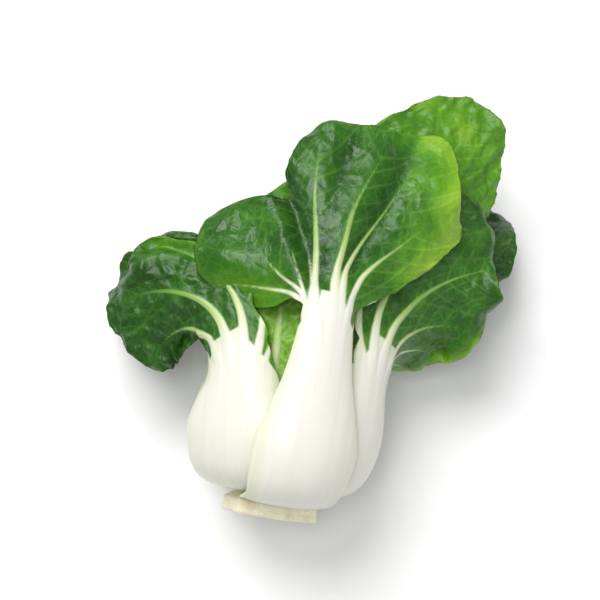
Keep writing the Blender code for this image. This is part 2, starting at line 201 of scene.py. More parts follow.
# The fan of the leaf in front, as (size, points across and along the flattened leaf)
FRONT_RIBS = (
    (0.85, ((-4.5, 52), (-6.8, 70), (-10.5, 77.5), (-19.0, 79.5), (-29.0, 80.5), (-39.0, 80))),
    (0.9, ((-3.8, 54), (-6.2, 72), (-9.8, 79.5), (-15.0, 83), (-20.5, 87), (-27.0, 93))),
    (0.7, ((-3.6, 54), (-6.3, 73), (-9.6, 81.5), (-12.6, 88), (-16.3, 96))),
    (0.4, ((-3.0, 60), (-6.4, 80), (-8.8, 88), (-11.6, 97), (-17.0, 106))),
    (1.3, ((-2.0, 54), (-4.0, 70), (-5.6, 79.5), (-7.3, 95), (-10.0, 112), (-10.7, 129))),
    (1.15, ((1.2, 54), (0.8, 74), (0.8, 84), (1.8, 97), (3.2, 109), (6.2, 119), (10.0, 130))),
    (1.0, ((2.8, 54), (2.6, 74), (3.2, 84), (6.6, 95.5), (13.0, 108.5), (19.6, 125))),
    (1.0, ((4.6, 54), (4.8, 71), (6.4, 80), (11.0, 89), (18.0, 98), (27.0, 109))),
    (0.6, ((6.0, 50), (7.0, 66), (10.5, 76), (16.0, 81), (21.0, 83))),
)
# Creases of that leaf: the line of each, how deep it is, how far its sides reach, and how much
# higher its left side stands than its right
FRONT_FOLDS = (
    (((5.0, 90), (9.0, 100), (13.5, 112), (17.5, 128), (21.0, 143)), -3.0, 5.0, 0.0),
    (((-8.0, 82), (-11.5, 90), (-15.5, 98), (-18.5, 105), (-23.0, 112)), -1.2, 7.0, 4.2),
    (((24.0, 100), (31.0, 112), (35.0, 124), (36.0, 136)), 2.2, 8.0, 0.0),
    (((-3.5, 84), (-4.0, 96), (-3.5, 110), (-1.5, 126), (0.0, 140)), -1.6, 4.5, 0.0),
    (((-22.0, 78), (-32.0, 86), (-40.0, 98)), 1.2, 7.0, 0.0),
)
FRONT_LIGHT = (
    (0.26, (6, 32), (4, 22), None),
    (0.40, (6, 32), (4, 22), (13, 2)),
    (0.14, (-8, -18), (15, 6), None),
)

LOOKS = {
    "top_outer_leaf": Look(
        "outer_leaf", tone=0.18, crinkle=0.55, ruffle=0.035, tint=0.05, lobes=FRONT_LOBES,
        drawn_ribs=FRONT_RIBS, folds=FRONT_FOLDS, light=FRONT_LIGHT,
    ),
    "bottom_outer_leaf": Look("outer_leaf", tone=0.2, crinkle=0.5, ruffle=0.04),
    "left_outer_leaf": Look(
        "outer_leaf", tone=0.07, crinkle=1.1, ruffle=0.11, tint=0.2, lobes=LEFT_LOBES,
        light=((0.35, (6, 20), None, (12, 5)),),
    ),
    "right_outer_leaf": Look(
        "outer_leaf", tone=0.22, crinkle=0.7, ruffle=0.08, tint=0.1, lobes=RIGHT_LOBES,
        light=((0.4, (8, 30), None, (8, 0)),),
    ),
    "lower_left_outer_leaf": Look(
        "outer_leaf", tone=0.08, crinkle=0.9, ruffle=0.1, lobes=UNDER_LEFT_LOBES
    ),
    "top_inner_leaf": Look(
        "inner_leaf", tone=0.62, crinkle=1.4, ruffle=0.12, tint=0.3, ribs=2, lobes=SMALL_LOBES
    ),
    "lower_right_leaf": Look("inner_leaf", tone=0.1, crinkle=0.6, ruffle=0.06),
    "left_inner_leaf": Look("inner_leaf", tone=0.45, crinkle=0.8, ruffle=0.07),
    "upper_right_inner_leaf": Look("inner_leaf", tone=0.5, crinkle=1.3, ruffle=0.05),
    "bottom_inner_leaf": Look("inner_leaf", tone=0.4, crinkle=0.8, ruffle=0.05),
    "heart_leaf_left": Look("heart_leaf", tone=0.7, crinkle=0.7, ruffle=0.05, ribs=2),
    "heart_leaf_right": Look("heart_leaf", tone=0.75, crinkle=0.7, ruffle=0.05, ribs=2),
}


# ---- The leaves' middle surfaces, as in the solids ----


def smoothstep(value):
    value = np.clip(value, 0.0, 1.0)
    return value * value * (3.0 - 2.0 * value)


def ramp(value, start, end):
    """0 at the start and before it, easing to 1 at the end."""
    return smoothstep((value - start) / (end - start))


def curve(points, at):
    """A smooth curve through the points that never overshoots them (monotone cubic)."""
    known, values = np.array(points, float).T
    widths = np.diff(known)
    slopes = np.diff(values) / widths
    tangents = np.zeros(len(known))
    tangents[0], tangents[-1] = slopes[0], slopes[-1]
    for i in range(1, len(known) - 1):
        if slopes[i - 1] * slopes[i] > 0:
            before, after = widths[i - 1], widths[i]
            tangents[i] = 3 * (before + after) / (
                (2 * after + before) / slopes[i - 1] + (after + 2 * before) / slopes[i]
            )
    at = np.clip(at, known[0], known[-1])
    i = np.clip(np.searchsorted(known, at, side="right") - 1, 0, len(widths) - 1)
    t = (at - known[i]) / widths[i]
    return (
        values[i] * (1 + 2 * t) * (1 - t) ** 2
        + tangents[i] * widths[i] * t * (1 - t) ** 2
        + values[i + 1] * t * t * (3 - 2 * t)
        + tangents[i + 1] * widths[i] * t * t * (t - 1)
    )


def head_axes():
    """The head's own axes: to the right, along the axis, and up from it."""
    tilt = math.radians(HEAD_TILT)
    along = np.array([0.0, math.cos(tilt), math.sin(tilt)])
    up = np.array([0.0, -math.sin(tilt), math.cos(tilt)])
    return np.array([1.0, 0.0, 0.0]), along, up


def frame_of(along, outward):
    """A turn whose columns are a leaf's sideways, lengthways and outward directions."""
    return Matrix(np.column_stack([np.cross(along, outward), along, outward]).tolist()).to_quaternion()


def blade_frame(leaf):
    yaw, rise, roll = (math.radians(angle) for angle in (leaf.yaw, leaf.rise, leaf.roll))
    along = np.array([math.sin(yaw) * math.cos(rise), math.cos(yaw) * math.cos(rise), math.sin(rise)])
    up = np.array([0.0, 0.0, 1.0]) - along[2] * along
    up /= np.linalg.norm(up)
    outward = math.cos(roll) * up + math.sin(roll) * np.cross(along, up)
    return frame_of(along, outward)


def spine_of(leaf, rank):
    """Along a leaf every SPINE_STEP, its middle line and three directions: sideways, away from
    the line that its sides curl round, and outward from its surface."""
    right, axis, up = head_axes()
    angle = math.radians(FIRST_LEAF_AT - GOLDEN_ANGLE * rank + leaf.shift)
    radial = math.cos(angle) * right + math.sin(angle) * up
    foot = foot_radius(leaf)
    point = axis * (FIRST_FOOT_HEIGHT + FOOT_STEP_UP * rank) + radial * foot
    blade = blade_frame(leaf)
    distances = np.arange(0.0, leaf.length + SPINE_OVERRUN, SPINE_STEP)
    slopes = np.radians(curve(STALK_SLOPE, full_place(leaf, distances)))
    swell = (leaf.swell - foot) / np.sin(slopes[distances < bulb_length(leaf)]).sum()
    progress = np.clip((distances - leaf.neck + TURN_BEFORE_NECK) / TURN_LENGTH, 0.0, 1.0)
    turns = (progress + smoothstep(progress)) / 2
    drooping = smoothstep((distances - leaf.neck - DROOP_AFTER_NECK) / (leaf.length - leaf.neck))
    droops = np.radians(leaf.droop) * drooping
    wraps = 1 - smoothstep((distances - WRAP_UNTIL) / WRAP_UNTIL)
    points, frames = [], []
    for slope, turn, droop, wrap in zip(slopes, turns, droops, wraps):
        slope = math.atan2(swell * math.sin(slope), math.cos(slope))
        along = math.cos(slope) * axis + math.sin(slope) * radial
        outward = math.cos(slope) * radial - math.sin(slope) * axis
        turned = np.array(frame_of(along, outward).slerp(blade, turn).to_matrix())
        sideways, along, outward = turned.T
        along, outward = (
            math.cos(droop) * along - math.sin(droop) * outward,
            math.cos(droop) * outward + math.sin(droop) * along,
        )
        points.append(point)
        frames.append((sideways, outward + wrap * (radial - outward), outward))
        point = point + along * SPINE_STEP
    return np.array(points), np.array(frames)


def bulb_length(leaf):
    """How far along the leaf its stalk has come to its full swell."""
    return min(BULB_LENGTH, BULB_SHARE * leaf.neck)


def full_place(leaf, at):
    """Where a place along this leaf would be along a leaf whose neck is at FULL_NECK."""
    bulb = bulb_length(leaf)
    ends = (leaf.neck + BEYOND_NECK, FULL_NECK + BEYOND_NECK)
    return curve([(0.0, 0.0), (bulb, FULL_BULB), (leaf.neck, FULL_NECK), ends], at)


def foot_radius(leaf):
    return FIRST_FOOT_RADIUS - FOOT_STEP_IN * LEAVES.index(leaf)


def swell_size(leaf, least):
    """The leaf's size beside the first one's, going by how far out its stalk stands."""
    return least + (1 - least) * leaf.swell / LEAVES[0].swell


def stalk_size(leaf, at, least):
    """The same for a place along the stalk: its foot's size goes by where it joins the butt."""
    foot_size = foot_radius(leaf) / FIRST_FOOT_RADIUS
    return foot_size + (swell_size(leaf, least) - foot_size) * smoothstep(at / WRAP_UNTIL)


def half_width_of(leaf, at):
    """Half the leaf's width where its blade isn't yet rounding to the tip."""
    broad = 1 + (leaf.broad - 1) * smoothstep(at / WRAP_UNTIL)
    stalk = curve(STALK_HALF_WIDTH, full_place(leaf, at)) * stalk_size(leaf, at, LEAST_WIDTH) * broad
    widening = smoothstep((at - leaf.neck) / (widest_at(leaf) - leaf.neck)) ** WIDENING
    return stalk + (leaf.half_width - stalk) * widening


def widest_at(leaf):
    return leaf.neck + WIDEST_AT * (leaf.length - leaf.neck)


def control_rows(leaf):
    """How far along its middle line each row of a leaf's control grid is."""
    widest = widest_at(leaf)
    stalk = leaf.neck * np.linspace(0.0, 1.0, STALK_ROWS + 1)[:-1] ** STALK_ROW_SPREAD
    wings = np.linspace(leaf.neck, widest, WING_ROWS + 1)[:-1]
    return np.concatenate([stalk, wings, np.linspace(widest, leaf.length, CAP_ROWS)])


def flat_places(leaf, rows, columns):
    """(across, along) on the flattened leaf for distances along its middle line and shares of
    its half width. Its cap is rounded like an ellipse."""
    widest = widest_at(leaf)
    cap = np.clip((rows - widest) / (leaf.length - widest), 0.0, MOST_CAP)
    width = half_width_of(leaf, np.minimum(rows, widest))
    x = columns * width * np.sqrt(1 - cap**2 / 2)
    rounded = widest + (leaf.length - widest) * cap * np.sqrt(1 - columns**2 / 2)
    y = np.where(cap > 0, rounded, rows)
    side = x / leaf.half_width
    shift = leaf.skew * side - leaf.sweep * side**2
    return x, y + shift * smoothstep((y - leaf.neck + SHIFT_BEFORE_NECK) / SHIFT_LENGTH)


def read_spine(values, y):
    """Values known every SPINE_STEP, read smoothly at y (Catmull-Rom)."""
    last = len(values) - 1
    at = np.clip(y / SPINE_STEP, 0.0, last - 0.001)
    i = at.astype(int)
    t = (at - i)[..., None]
    before, here, after, later = (values[np.clip(i + k, 0, last)] for k in (-1, 0, 1, 2))
    bend = 2 * before - 5 * here + 4 * after - later + t * (3 * (here - after) + later - before)
    return here + t / 2 * (after - before + t * bend)


def surface_of(leaf, spine, x, y):
    """Points on the middle surface of the leaf, and which way is outward there."""
    points, frames = spine
    centre = read_spine(points, y)
    sideways, away, outward = (read_spine(frames[:, i], y) for i in range(3))
    radius = curve(STALK_CURVE_RADIUS, full_place(leaf, y))
    tightness = 1.0 / (radius * stalk_size(leaf, y, LEAST_CURVE))
    past = y - leaf.neck + OPEN_BEFORE_NECK
    curl = tightness + (1.0 / leaf.cup - tightness) * smoothstep(past / OPEN_LENGTH)
    most = STALK_WRAP + (BLADE_WRAP - STALK_WRAP) * smoothstep(past / UNWRAP_LENGTH)
    bend = np.minimum(curl * np.abs(x), most)
    straight = np.abs(x) - bend / curl
    across = np.sign(x) * (np.sin(bend) / curl + straight * np.cos(bend))
    inward = (1 - np.cos(bend)) / curl + straight * np.sin(bend)
    return centre + sideways * across[..., None] - away * inward[..., None], outward


def half_thickness_of(leaf, x, y):
    full_y = full_place(leaf, y)
    on_stalk = full_y < MIDRIB_HALF_WIDTH[0][0]
    rib = np.where(on_stalk, half_width_of(leaf, y), curve(MIDRIB_HALF_WIDTH, full_y))
    rib = np.minimum(rib, curve(STALK_HALF_WIDTH, full_y) * leaf.broad)
    edge = curve(EDGE_THICKNESS, full_y)
    middle = curve(MIDDLE_THICKNESS, full_y) * swell_size(leaf, LEAST_THICKNESS)
    middle = np.maximum(middle, edge)
    hump = np.clip(1 - (x / rib) ** 2, 0, 1) ** RIB_FALL_OFF
    return (edge + (middle - edge) * hump) / 2


def normals_of(points, outward):
    """Unit normals of a grid of points, on the side that outward is on."""
    normal = np.cross(np.gradient(points, axis=1), np.gradient(points, axis=0))
    normal /= np.linalg.norm(normal, axis=-1, keepdims=True) + 1e-9
    return normal * np.sign(np.sum(normal * outward, axis=-1, keepdims=True))


def halves(count):
    """Matrix that adds the midpoint between each two neighbours of a row."""
    matrix = np.zeros((2 * count - 1, count))
    for i in range(count):
        matrix[2 * i, i] = 1.0
    for i in range(count - 1):
        matrix[2 * i + 1, i] = matrix[2 * i + 1, i + 1] = 0.5
    return matrix


def refined(field):
    """The field of each leaf with midpoints added, as one list of places for each leaf."""
    count, rows, columns = field.shape[:3]
    fine = np.einsum("ir,krc...,jc->kij...", halves(rows), field, halves(columns))
    return fine.reshape(count, -1, *field.shape[3:])


def smoothed(field, rounds):
    """The field with each value drawn towards its neighbours on the grid."""
    for _ in range(rounds):
        padded = np.pad(field, ((1, 1), (1, 1), (0, 0)), mode="edge")
        ring = padded[:-2, 1:-1] + padded[2:, 1:-1] + padded[1:-1, :-2] + padded[1:-1, 2:]
        field = (field + ring / 4) / 2
    return field


def settle(grids, outwards, half_thickness, freedom):
    """Move the leaves' middle surfaces until each younger leaf lies inside the older ones, with
    room for their thickness, and no blade is below the bulb. Arrays run over leaf, row, column."""
    count, rows, columns = freedom.shape
    fine_shape = (count, 2 * rows - 1, 2 * columns - 1)

    def gather(field):
        return np.einsum("ir,kij...,jc->krc...", halves(rows), field, halves(columns))

    share = gather(np.ones(fine_shape))[..., None]
    thick, free = refined(half_thickness), refined(freedom)
    table = (grids[..., 2] - half_thickness)[:, :STALK_ROWS].min()
    moved = np.zeros_like(grids)
    for turn in range(SETTLE_ROUNDS):
        shapes = grids + moved
        normals = np.stack([normals_of(*pair) for pair in zip(shapes, outwards)])
        normals, samples = refined(normals), refined(shapes)
        push, hits = np.zeros_like(samples), np.full(free.shape, 1e-6)
        for a in range(count):
            for b in range(a + 1, count):
                press_apart(a, b, samples, normals, thick, free, push, hits)
        mean = (push / hits[..., None]).reshape(*fine_shape, 3)
        step = gather(mean) / share * freedom[..., None]
        early = turn < SETTLE_ROUNDS // 2
        for k in range(count):
            moved[k] += OVERSTEP * smoothed(step[k], 3 if early else 1)
        moved[..., 2] += np.maximum(table + half_thickness - (grids + moved)[..., 2], 0.0)
        if early:
            moved = np.stack([smoothed(field, 1) for field in moved])
    return moved


def press_apart(a, b, samples, normals, thick, free, push, hits):
    """Note how far leaf a should move out and leaf b in, where they are too close."""
    low, high = samples[a].min(axis=0) - CONTACT_REACH, samples[a].max(axis=0) + CONTACT_REACH
    near = np.flatnonzero(((samples[b] > low) & (samples[b] < high)).all(axis=1))
    if not len(near):
        return
    apart_squared = (samples[a] ** 2).sum(axis=1) - 2 * samples[b][near] @ samples[a].T
    nearest = np.argmin(apart_squared, axis=1)
    apart = samples[b][near] - samples[a][nearest]
    normal = normals[a][nearest]
    gap = np.einsum("ij,ij->i", apart, normal)
    aside = np.linalg.norm(apart - gap[:, None] * normal, axis=1)
    excess = gap + thick[a][nearest] + thick[b][near] + CLEARANCE
    hit = (excess > 0) & (gap < CONTACT_DEPTH) & (aside < CONTACT_REACH)
    near, nearest, excess, normal = near[hit], nearest[hit], excess[hit], normal[hit]
    total = free[a][nearest] + free[b][near] + 1e-6
    np.add.at(push[a], nearest, normal * (excess * free[a][nearest] / total)[:, None])
    np.add.at(hits[a], nearest, 1.0)
    np.add.at(push[b], near, -normal * (excess * free[b][near] / total)[:, None])
    np.add.at(hits[b], near, 1.0)


def settled_leaves():
    """How the control grid of each leaf moves as the leaves settle, its settled points and
    normals, and its half thicknesses."""
    grids, outwards, halves_thick, freedom = [], [], [], []
    columns = np.linspace(-1.0, 1.0, COLUMNS)
    for rank, leaf in enumerate(LEAVES):
        x, y = flat_places(leaf, *np.meshgrid(control_rows(leaf), columns, indexing="ij"))
        points, outward = surface_of(leaf, spine_of(leaf, rank), x, y)
        grids.append(points)
        outwards.append(outward)
        halves_thick.append(half_thickness_of(leaf, x, y))
        freedom.append(smoothstep((y - FIRM_UNTIL) / (FREE_FROM - FIRM_UNTIL)))
    grids, outwards = np.stack(grids), np.stack(outwards)
    halves_thick, freedom = np.stack(halves_thick), np.stack(freedom)
    moved = settle(grids, outwards, halves_thick, freedom)
    grids = grids + moved
    normals = np.stack([normals_of(*pair) for pair in zip(grids, outwards)])
    return moved, grids, normals, halves_thick


# ---- Noise and distances on the flattened leaf ----


def spline_weights(knots, at):
    """Matrix that turns values at the knots into those of a natural cubic spline elsewhere."""
    count = len(knots)
    gaps = np.diff(knots)
    system, right = np.eye(count), np.zeros((count, count))
    for i in range(1, count - 1):
        before, after = gaps[i - 1], gaps[i]
        system[i, i - 1 : i + 2] = before, 2 * (before + after), after
        right[i, i - 1 : i + 2] = 6 / before, -6 / before - 6 / after, 6 / after
    bends = np.linalg.solve(system, right)
    i = np.clip(np.searchsorted(knots, at, side="right") - 1, 0, count - 2)
    gap = gaps[i][:, None]
    t = (at - knots[i])[:, None] / gap
    unit = np.eye(count)
    straight = (1 - t) * unit[i] + t * unit[i + 1]
    bent = ((1 - t) ** 3 - (1 - t)) * bends[i] + (t**3 - t) * bends[i + 1]
    return straight + gap**2 / 6 * bent


def hashed(i, j, seed):
    """A repeatable number from 0 to 1 for each whole-number place."""
    value = np.sin(i * 127.1 + j * 311.7 + seed * 74.7) * 43758.5453
    return value - np.floor(value)


def noise(x, y, size, seed):
    """Smooth noise from -1 to 1 whose bumps are about size apart."""
    x, y = x / size, y / size
    i, j = np.floor(x), np.floor(y)
    total = np.zeros(np.broadcast(x, y).shape)
    for di in (0, 1):
        for dj in (0, 1):
            turn = hashed(i + di, j + dj, seed) * 2 * np.pi
            dx, dy = x - i - di, y - j - dj
            slope = np.cos(turn) * dx + np.sin(turn) * dy
            total += slope * (1 - smoothstep(np.abs(dx))) * (1 - smoothstep(np.abs(dy)))
    return total * 1.6


def cells(x, y, size, seed):
    """0 at the middle of each cell of a random pattern, rising to about 1 at its border."""
    x, y = x / size, y / size
    i, j = np.floor(x), np.floor(y)
    first, second = np.full(x.shape, 9.0), np.full(x.shape, 9.0)
    for di in (-1, 0, 1):
        for dj in (-1, 0, 1):
            px = i + di + 0.15 + 0.7 * hashed(i + di, j + dj, seed)
            py = j + dj + 0.15 + 0.7 * hashed(i + di, j + dj, seed + 0.5)
            apart = np.hypot(x - px, y - py)
            second = np.minimum(second, np.maximum(first, apart))
            first = np.minimum(first, apart)
    return first / (second + 1e-6)


def line_distance(x, y, lines, widths, reach):
    """For each place, the distance to the edge of the nearest line, negative inside it, and that
    line's half width there. It is right up to reach. lines are arrays of points, and widths
    their half widths."""
    best, breadth = np.full(x.shape, 1e3, np.float32), np.zeros(x.shape, np.float32)
    x, y = x.astype(np.float32), y.astype(np.float32)
    for line, width in zip(lines, widths):
        for (ax, ay), (bx, by), wa, wb in zip(line[:-1], line[1:], width[:-1], width[1:]):
            dx, dy = bx - ax, by - ay
            low_x, high_x = min(ax, bx) - reach, max(ax, bx) + reach
            low_y, high_y = min(ay, by) - reach, max(ay, by) + reach
            rows = np.flatnonzero((x > low_x) & (x < high_x) & (y > low_y) & (y < high_y))
            px, py = x.flat[rows] - ax, y.flat[rows] - ay
            t = np.clip((px * dx + py * dy) / (dx * dx + dy * dy + 1e-9), 0.0, 1.0)
            wide = wa + (wb - wa) * t
            apart = np.hypot(px - t * dx, py - t * dy) - wide
            nearer = apart < best.flat[rows]
            best.flat[rows[nearer]] = apart[nearer]
            breadth.flat[rows[nearer]] = wide[nearer]
    return np.minimum(best, reach), breadth


# ---- Ribs and veins ----

FAN_ANGLE = math.radians(76)  # how far the outermost ribs lean from the leaf's length
RIB_REACH = 0.9  # share of the way to the outline that a rib runs
RIB_STEPS = 14
RIB_ROOT = 15.0  # the ribs part from each other in the stalk, this far below the neck
RIB_HALF_WIDTH = 2.1
RIB_TAPER = 1.3
RIB_TIP_HALF_WIDTH = -0.12  # under 0 it fades out before its tip
VEIN_SPACING = 6.5
VEIN_STEP = 1.3
VEIN_STEPS = 22
VEIN_LEAN = math.radians(52)  # between a rib and the veins at its sides
VEIN_TURN = math.radians(1.6)  # at each step a vein turns this much towards the tip
VEIN_WOBBLE = 0.35
VEIN_HALF_WIDTH = 0.28
VEIN_TIP_HALF_WIDTH = 0.08
VEINS_FROM = 2.0  # past the neck
VEIN_TO_MARGIN = 2.5
VEIN_TO_RIB = 2.2
OUTLINE_ROWS = 90
OUTLINE_COLUMNS = 40

CREASE_SOFTNESS = 1.7


def crease(x, y, points, depth, reach, step):
    """How far a crease moves the leaf, and how much it lies in the shade of the crease."""
    line = splined(points)
    away, _ = line_distance(x, y, [line], [np.zeros(len(line))], 2.5 * reach)
    apart = np.hypot(x[..., None] - line[:, 0], y[..., None] - line[:, 1])
    nearest = np.argmin(apart, axis=-1)
    heading = np.gradient(line, axis=0)
    heading = (heading / np.linalg.norm(heading, axis=1, keepdims=True))[nearest]
    right = heading[..., 1] * (x - line[nearest, 0]) - heading[..., 0] * (y - line[nearest, 1])
    side = np.tanh(right / CREASE_SOFTNESS)
    near = np.exp(-((away / reach) ** 2))
    # Painted shade: darker deep in a valley and on the lower side of a step, later taken off the blade's
    # tone
    shade = near * np.clip(side, 0.0, 1.0) * abs(step) / 3 + near**4 * max(-depth, 0.0) / 4
    return near * (depth - step * side), shade


def splined(points, steps=2 * RIB_STEPS):
    """A smooth line through the points."""
    points = np.array(points, float)
    at = np.concatenate([[0.0], np.cumsum(np.hypot(*np.diff(points, axis=0).T))])
    return spline_weights(at, np.linspace(0.0, at[-1], steps)) @ points


def bezier(start, bend, end):
    t = np.linspace(0.0, 1.0, RIB_STEPS)[:, None]
    return (1 - t) ** 2 * np.array(start) + 2 * t * (1 - t) * np.array(bend) + t * t * np.array(end)


def border_of(x, y):
    """The places round a grid, up its left side, along its end and down its right side."""
    return np.column_stack([np.concatenate([v[:, 0], v[-1, 1:-1], v[::-1, -1]]) for v in (x, y)])


def outline_of(leaf):
    """Points round the flattened leaf from its foot's left end to its right end."""
    rows, columns = np.linspace(0.0, leaf.length, OUTLINE_ROWS), np.linspace(-1.0, 1.0, OUTLINE_COLUMNS)
    return border_of(*flat_places(leaf, *np.meshgrid(rows, columns, indexing="ij")))


def rib_fan(leaf, look):
    """The ribs of a leaf, as lines on the flattened leaf and their half widths."""
    size = swell_size(leaf, LEAST_WIDTH)
    if look.drawn_ribs:
        sizes = [share for share, _ in look.drawn_ribs]
        lines = [splined(points) for _, points in look.drawn_ribs]
    else:
        outline = outline_of(leaf)
        neck = np.array([0.0, leaf.neck])
        away = outline - neck
        leans, reaches = np.arctan2(away[:, 0], away[:, 1]), np.hypot(*away.T)
        paths = []
        for k in range(-look.ribs, look.ribs + 1):
            share = k / look.ribs
            lean = share * FAN_ANGLE
            reach = RIB_REACH * reaches[np.argmin(np.abs(leans - lean))]
            end = neck + reach * np.array([math.sin(lean), math.cos(lean)])
            side = 0.62 * share * half_width_of(leaf, leaf.neck)
            start = np.array([side, leaf.neck - RIB_ROOT * (1 - 0.2 * abs(share))])
            heading = np.array([math.sin(0.35 * lean), math.cos(0.35 * lean)])
            bend = start + 0.5 * np.linalg.norm(end - start) * heading
            paths.append((start, bend, end))
        lines = [bezier(*path) for path in paths]
        sizes = [1.2 - 0.4 * abs(k) / look.ribs for k in range(-look.ribs, look.ribs + 1)]
    widths = []
    for line, share in zip(lines, sizes):
        base = RIB_HALF_WIDTH * size * share
        taper = np.linspace(1.0, 0.0, len(line)) ** RIB_TAPER
        widths.append(RIB_TIP_HALF_WIDTH + (base - RIB_TIP_HALF_WIDTH) * taper)
    return lines, widths


def side_veins(leaf, ribs, seed):
    """Finer veins that leave both sides of each rib and curve towards the tip, each ending
    where it comes to another rib or near the margin."""
    outline = outline_of(leaf)
    lines, widths = [], []
    for rank, rib in enumerate(ribs):
        others = np.concatenate([line for k, line in enumerate(ribs) if k != rank])
        lengths = np.concatenate([[0.0], np.cumsum(np.hypot(*np.diff(rib, axis=0).T))])

        def reached(length):
            return np.array([np.interp(length, lengths, values) for values in rib.T])

        for side in (-1, 1):
            offset = VEIN_SPACING * (0.4 + 0.5 * hashed(rank, side, seed))
            for at in np.arange(offset, lengths[-1], VEIN_SPACING):
                point = reached(at)
                if point[1] < leaf.neck + VEINS_FROM:
                    continue
                along = reached(at + 1) - point if at + 1 < lengths[-1] else rib[-1] - rib[-2]
                wobble = hashed(rank + at, side, seed + 1) - 0.5
                heading = math.atan2(*along) + side * (VEIN_LEAN + VEIN_WOBBLE * wobble)
                line = [point]
                for step in range(VEIN_STEPS):
                    point = point + VEIN_STEP * np.array([math.sin(heading), math.cos(heading)])
                    heading -= side * VEIN_TURN
                    line.append(point)
                    if np.hypot(*(outline - point).T).min() < VEIN_TO_MARGIN:
                        break
                    if step > 1 and np.hypot(*(others - point).T).min() < VEIN_TO_RIB:
                        break
                if len(line) > 3:
                    lines.append(np.array(line))
                    widths.append(np.linspace(VEIN_HALF_WIDTH, VEIN_TIP_HALF_WIDTH, len(line)))
    return lines, widths


# ---- A leaf's shell ----

MAP_MIDDLES = (0.25, 0.75)  # where the outer and the inner skin's middle lies across the map
MAP_FOOT = 0.01
MAP_ROOM = (4.2, 1.02)  # the map's size beside the leaf's half width, and beside its length
MAP_RIM = 0.004  # width of the rim's strip on the map
MOST_ROOM = 8.0
ROOM_REACH = 6.0
EDGE_REACH = 14.0
RIB_FIELD_REACH = 12.0
VEIN_FIELD_REACH = 2.5
NORMAL_ROUNDS = 4
CURL_WIDTH = 11.0  # how far in from its edge a margin curls
LOBE_CENTRE = 0.4  # share of the blade's length where its lobes are measured from
LOBE_FADE = 9.0  # degrees over which they begin and end
MOST_COLUMN = 1.1  # how far past its edge a leaf is known to move as its edge does
OUTLINE_SWING = 1.3
SWING_LENGTH = 15.0
OUTLINE_NOTCH = 0.45
NOTCH_LENGTH = 4.2
OPEN_BLADE_LENGTH = 12.0  # past the neck, until the blade is as uneven as it gets
PUCKER_SIZE = 6.0
FINE_PUCKER = 0.25  # as a share of the puckers' height
FINE_PUCKER_SIZE = 2.4
VEIN_HOLLOW = 0.5
BILLOW = 1.5
BILLOW_LENGTH = 19.0
CURL_LENGTH = 13.0
CURL_GAIN = 1.4
STALK_RIDGE = 0.11
STALK_RIDGE_SIZE = 2.6
STALK_END = (-3.0, 14.0)  # past the neck, where the stalk's thickness fades out
WHITE_END = (-14.0, 4.0)  # past the neck, where the white narrows into the ribs
# How much the painted shade of the creases darkens the blade's green
CREASE_PAINTED_SHADE = 0.32
LEAST_ROOM = 0.15
RIM_WIDTH = 1.5  # from a blade's very edge to where it has its full thickness
RIB_OUT = 0.6  # a rib's height on each skin, as a share of its half width
RIB_IN = 0.35
RIB_IN_STALK = 0.3  # the share of its height that a rib keeps on the stalk
VEIN_OUT = 0.22
VEIN_IN = 0.10  # a groove
VEIN_SOFTNESS = 0.3
PALE_SHARE = 0.55  # of the blade's length, over which the ribs turn green
TONE_PATCHES = ((0.10, 26.0, 5), (0.09, 9.0, 6))  # how much lighter, their size and seed
# How much lighter, and over which length
LIGHTER_BY_RIBS = (0.10, 1.5)
LIGHTER_BY_NECK = (0.18, 7.0)
LIGHTER_AT_MARGIN = (0.08, 1.6)
BODY_NARROWING = 0.5  # the white of the stalk narrows by this share up to its end


def uneven_outline(leaf, look, rows, columns, seed):
    """The flattened leaf drawn in or out so that its outline takes its own lobes and is a little
    wavy and notched: (across, along), and the rows and columns where the leaf moves alike."""
    rows, columns = np.meshgrid(rows, columns, indexing="ij")
    x, y = flat_places(leaf, rows, columns)
    middle = leaf.neck + LOBE_CENTRE * (leaf.length - leaf.neck)
    direction, apart = np.degrees(np.arctan2(x, y - middle)), np.hypot(x, y - middle)
    outline = outline_of(leaf) - (0.0, middle)
    order = np.argsort(np.arctan2(*outline.T))
    known = np.degrees(np.arctan2(*outline.T))[order]
    reach = np.interp(direction, known, np.hypot(*outline.T)[order])
    closeness = np.clip(apart / reach, 0.0, 1.0)
    wanted = reach
    if look.lobes:
        turns, radii = np.array(look.lobes, float).T
        lobed = spline_weights(turns, np.clip(direction, turns[0], turns[-1]).ravel()) @ radii
        inside = smoothstep((direction - turns[0]) / LOBE_FADE)
        inside = inside * smoothstep((turns[-1] - direction) / LOBE_FADE)
        wanted = reach + (lobed.reshape(reach.shape) - reach) * inside
    wave = OUTLINE_SWING * noise(x, y, SWING_LENGTH, seed)
    wave = wave + OUTLINE_NOTCH * (noise(x, y, NOTCH_LENGTH, seed + 2) - 1)
    wave = wave * closeness**4 * smoothstep((y - leaf.neck) / OPEN_BLADE_LENGTH)
    scale = 1 + (wanted / reach - 1) * closeness + wave / reach
    rows = np.clip(middle + (rows - middle) * scale, 0.0, leaf.length)
    columns = np.clip(columns * scale, -MOST_COLUMN, MOST_COLUMN)
    return x * scale, np.maximum(middle + (y - middle) * scale, 0.0), rows, columns


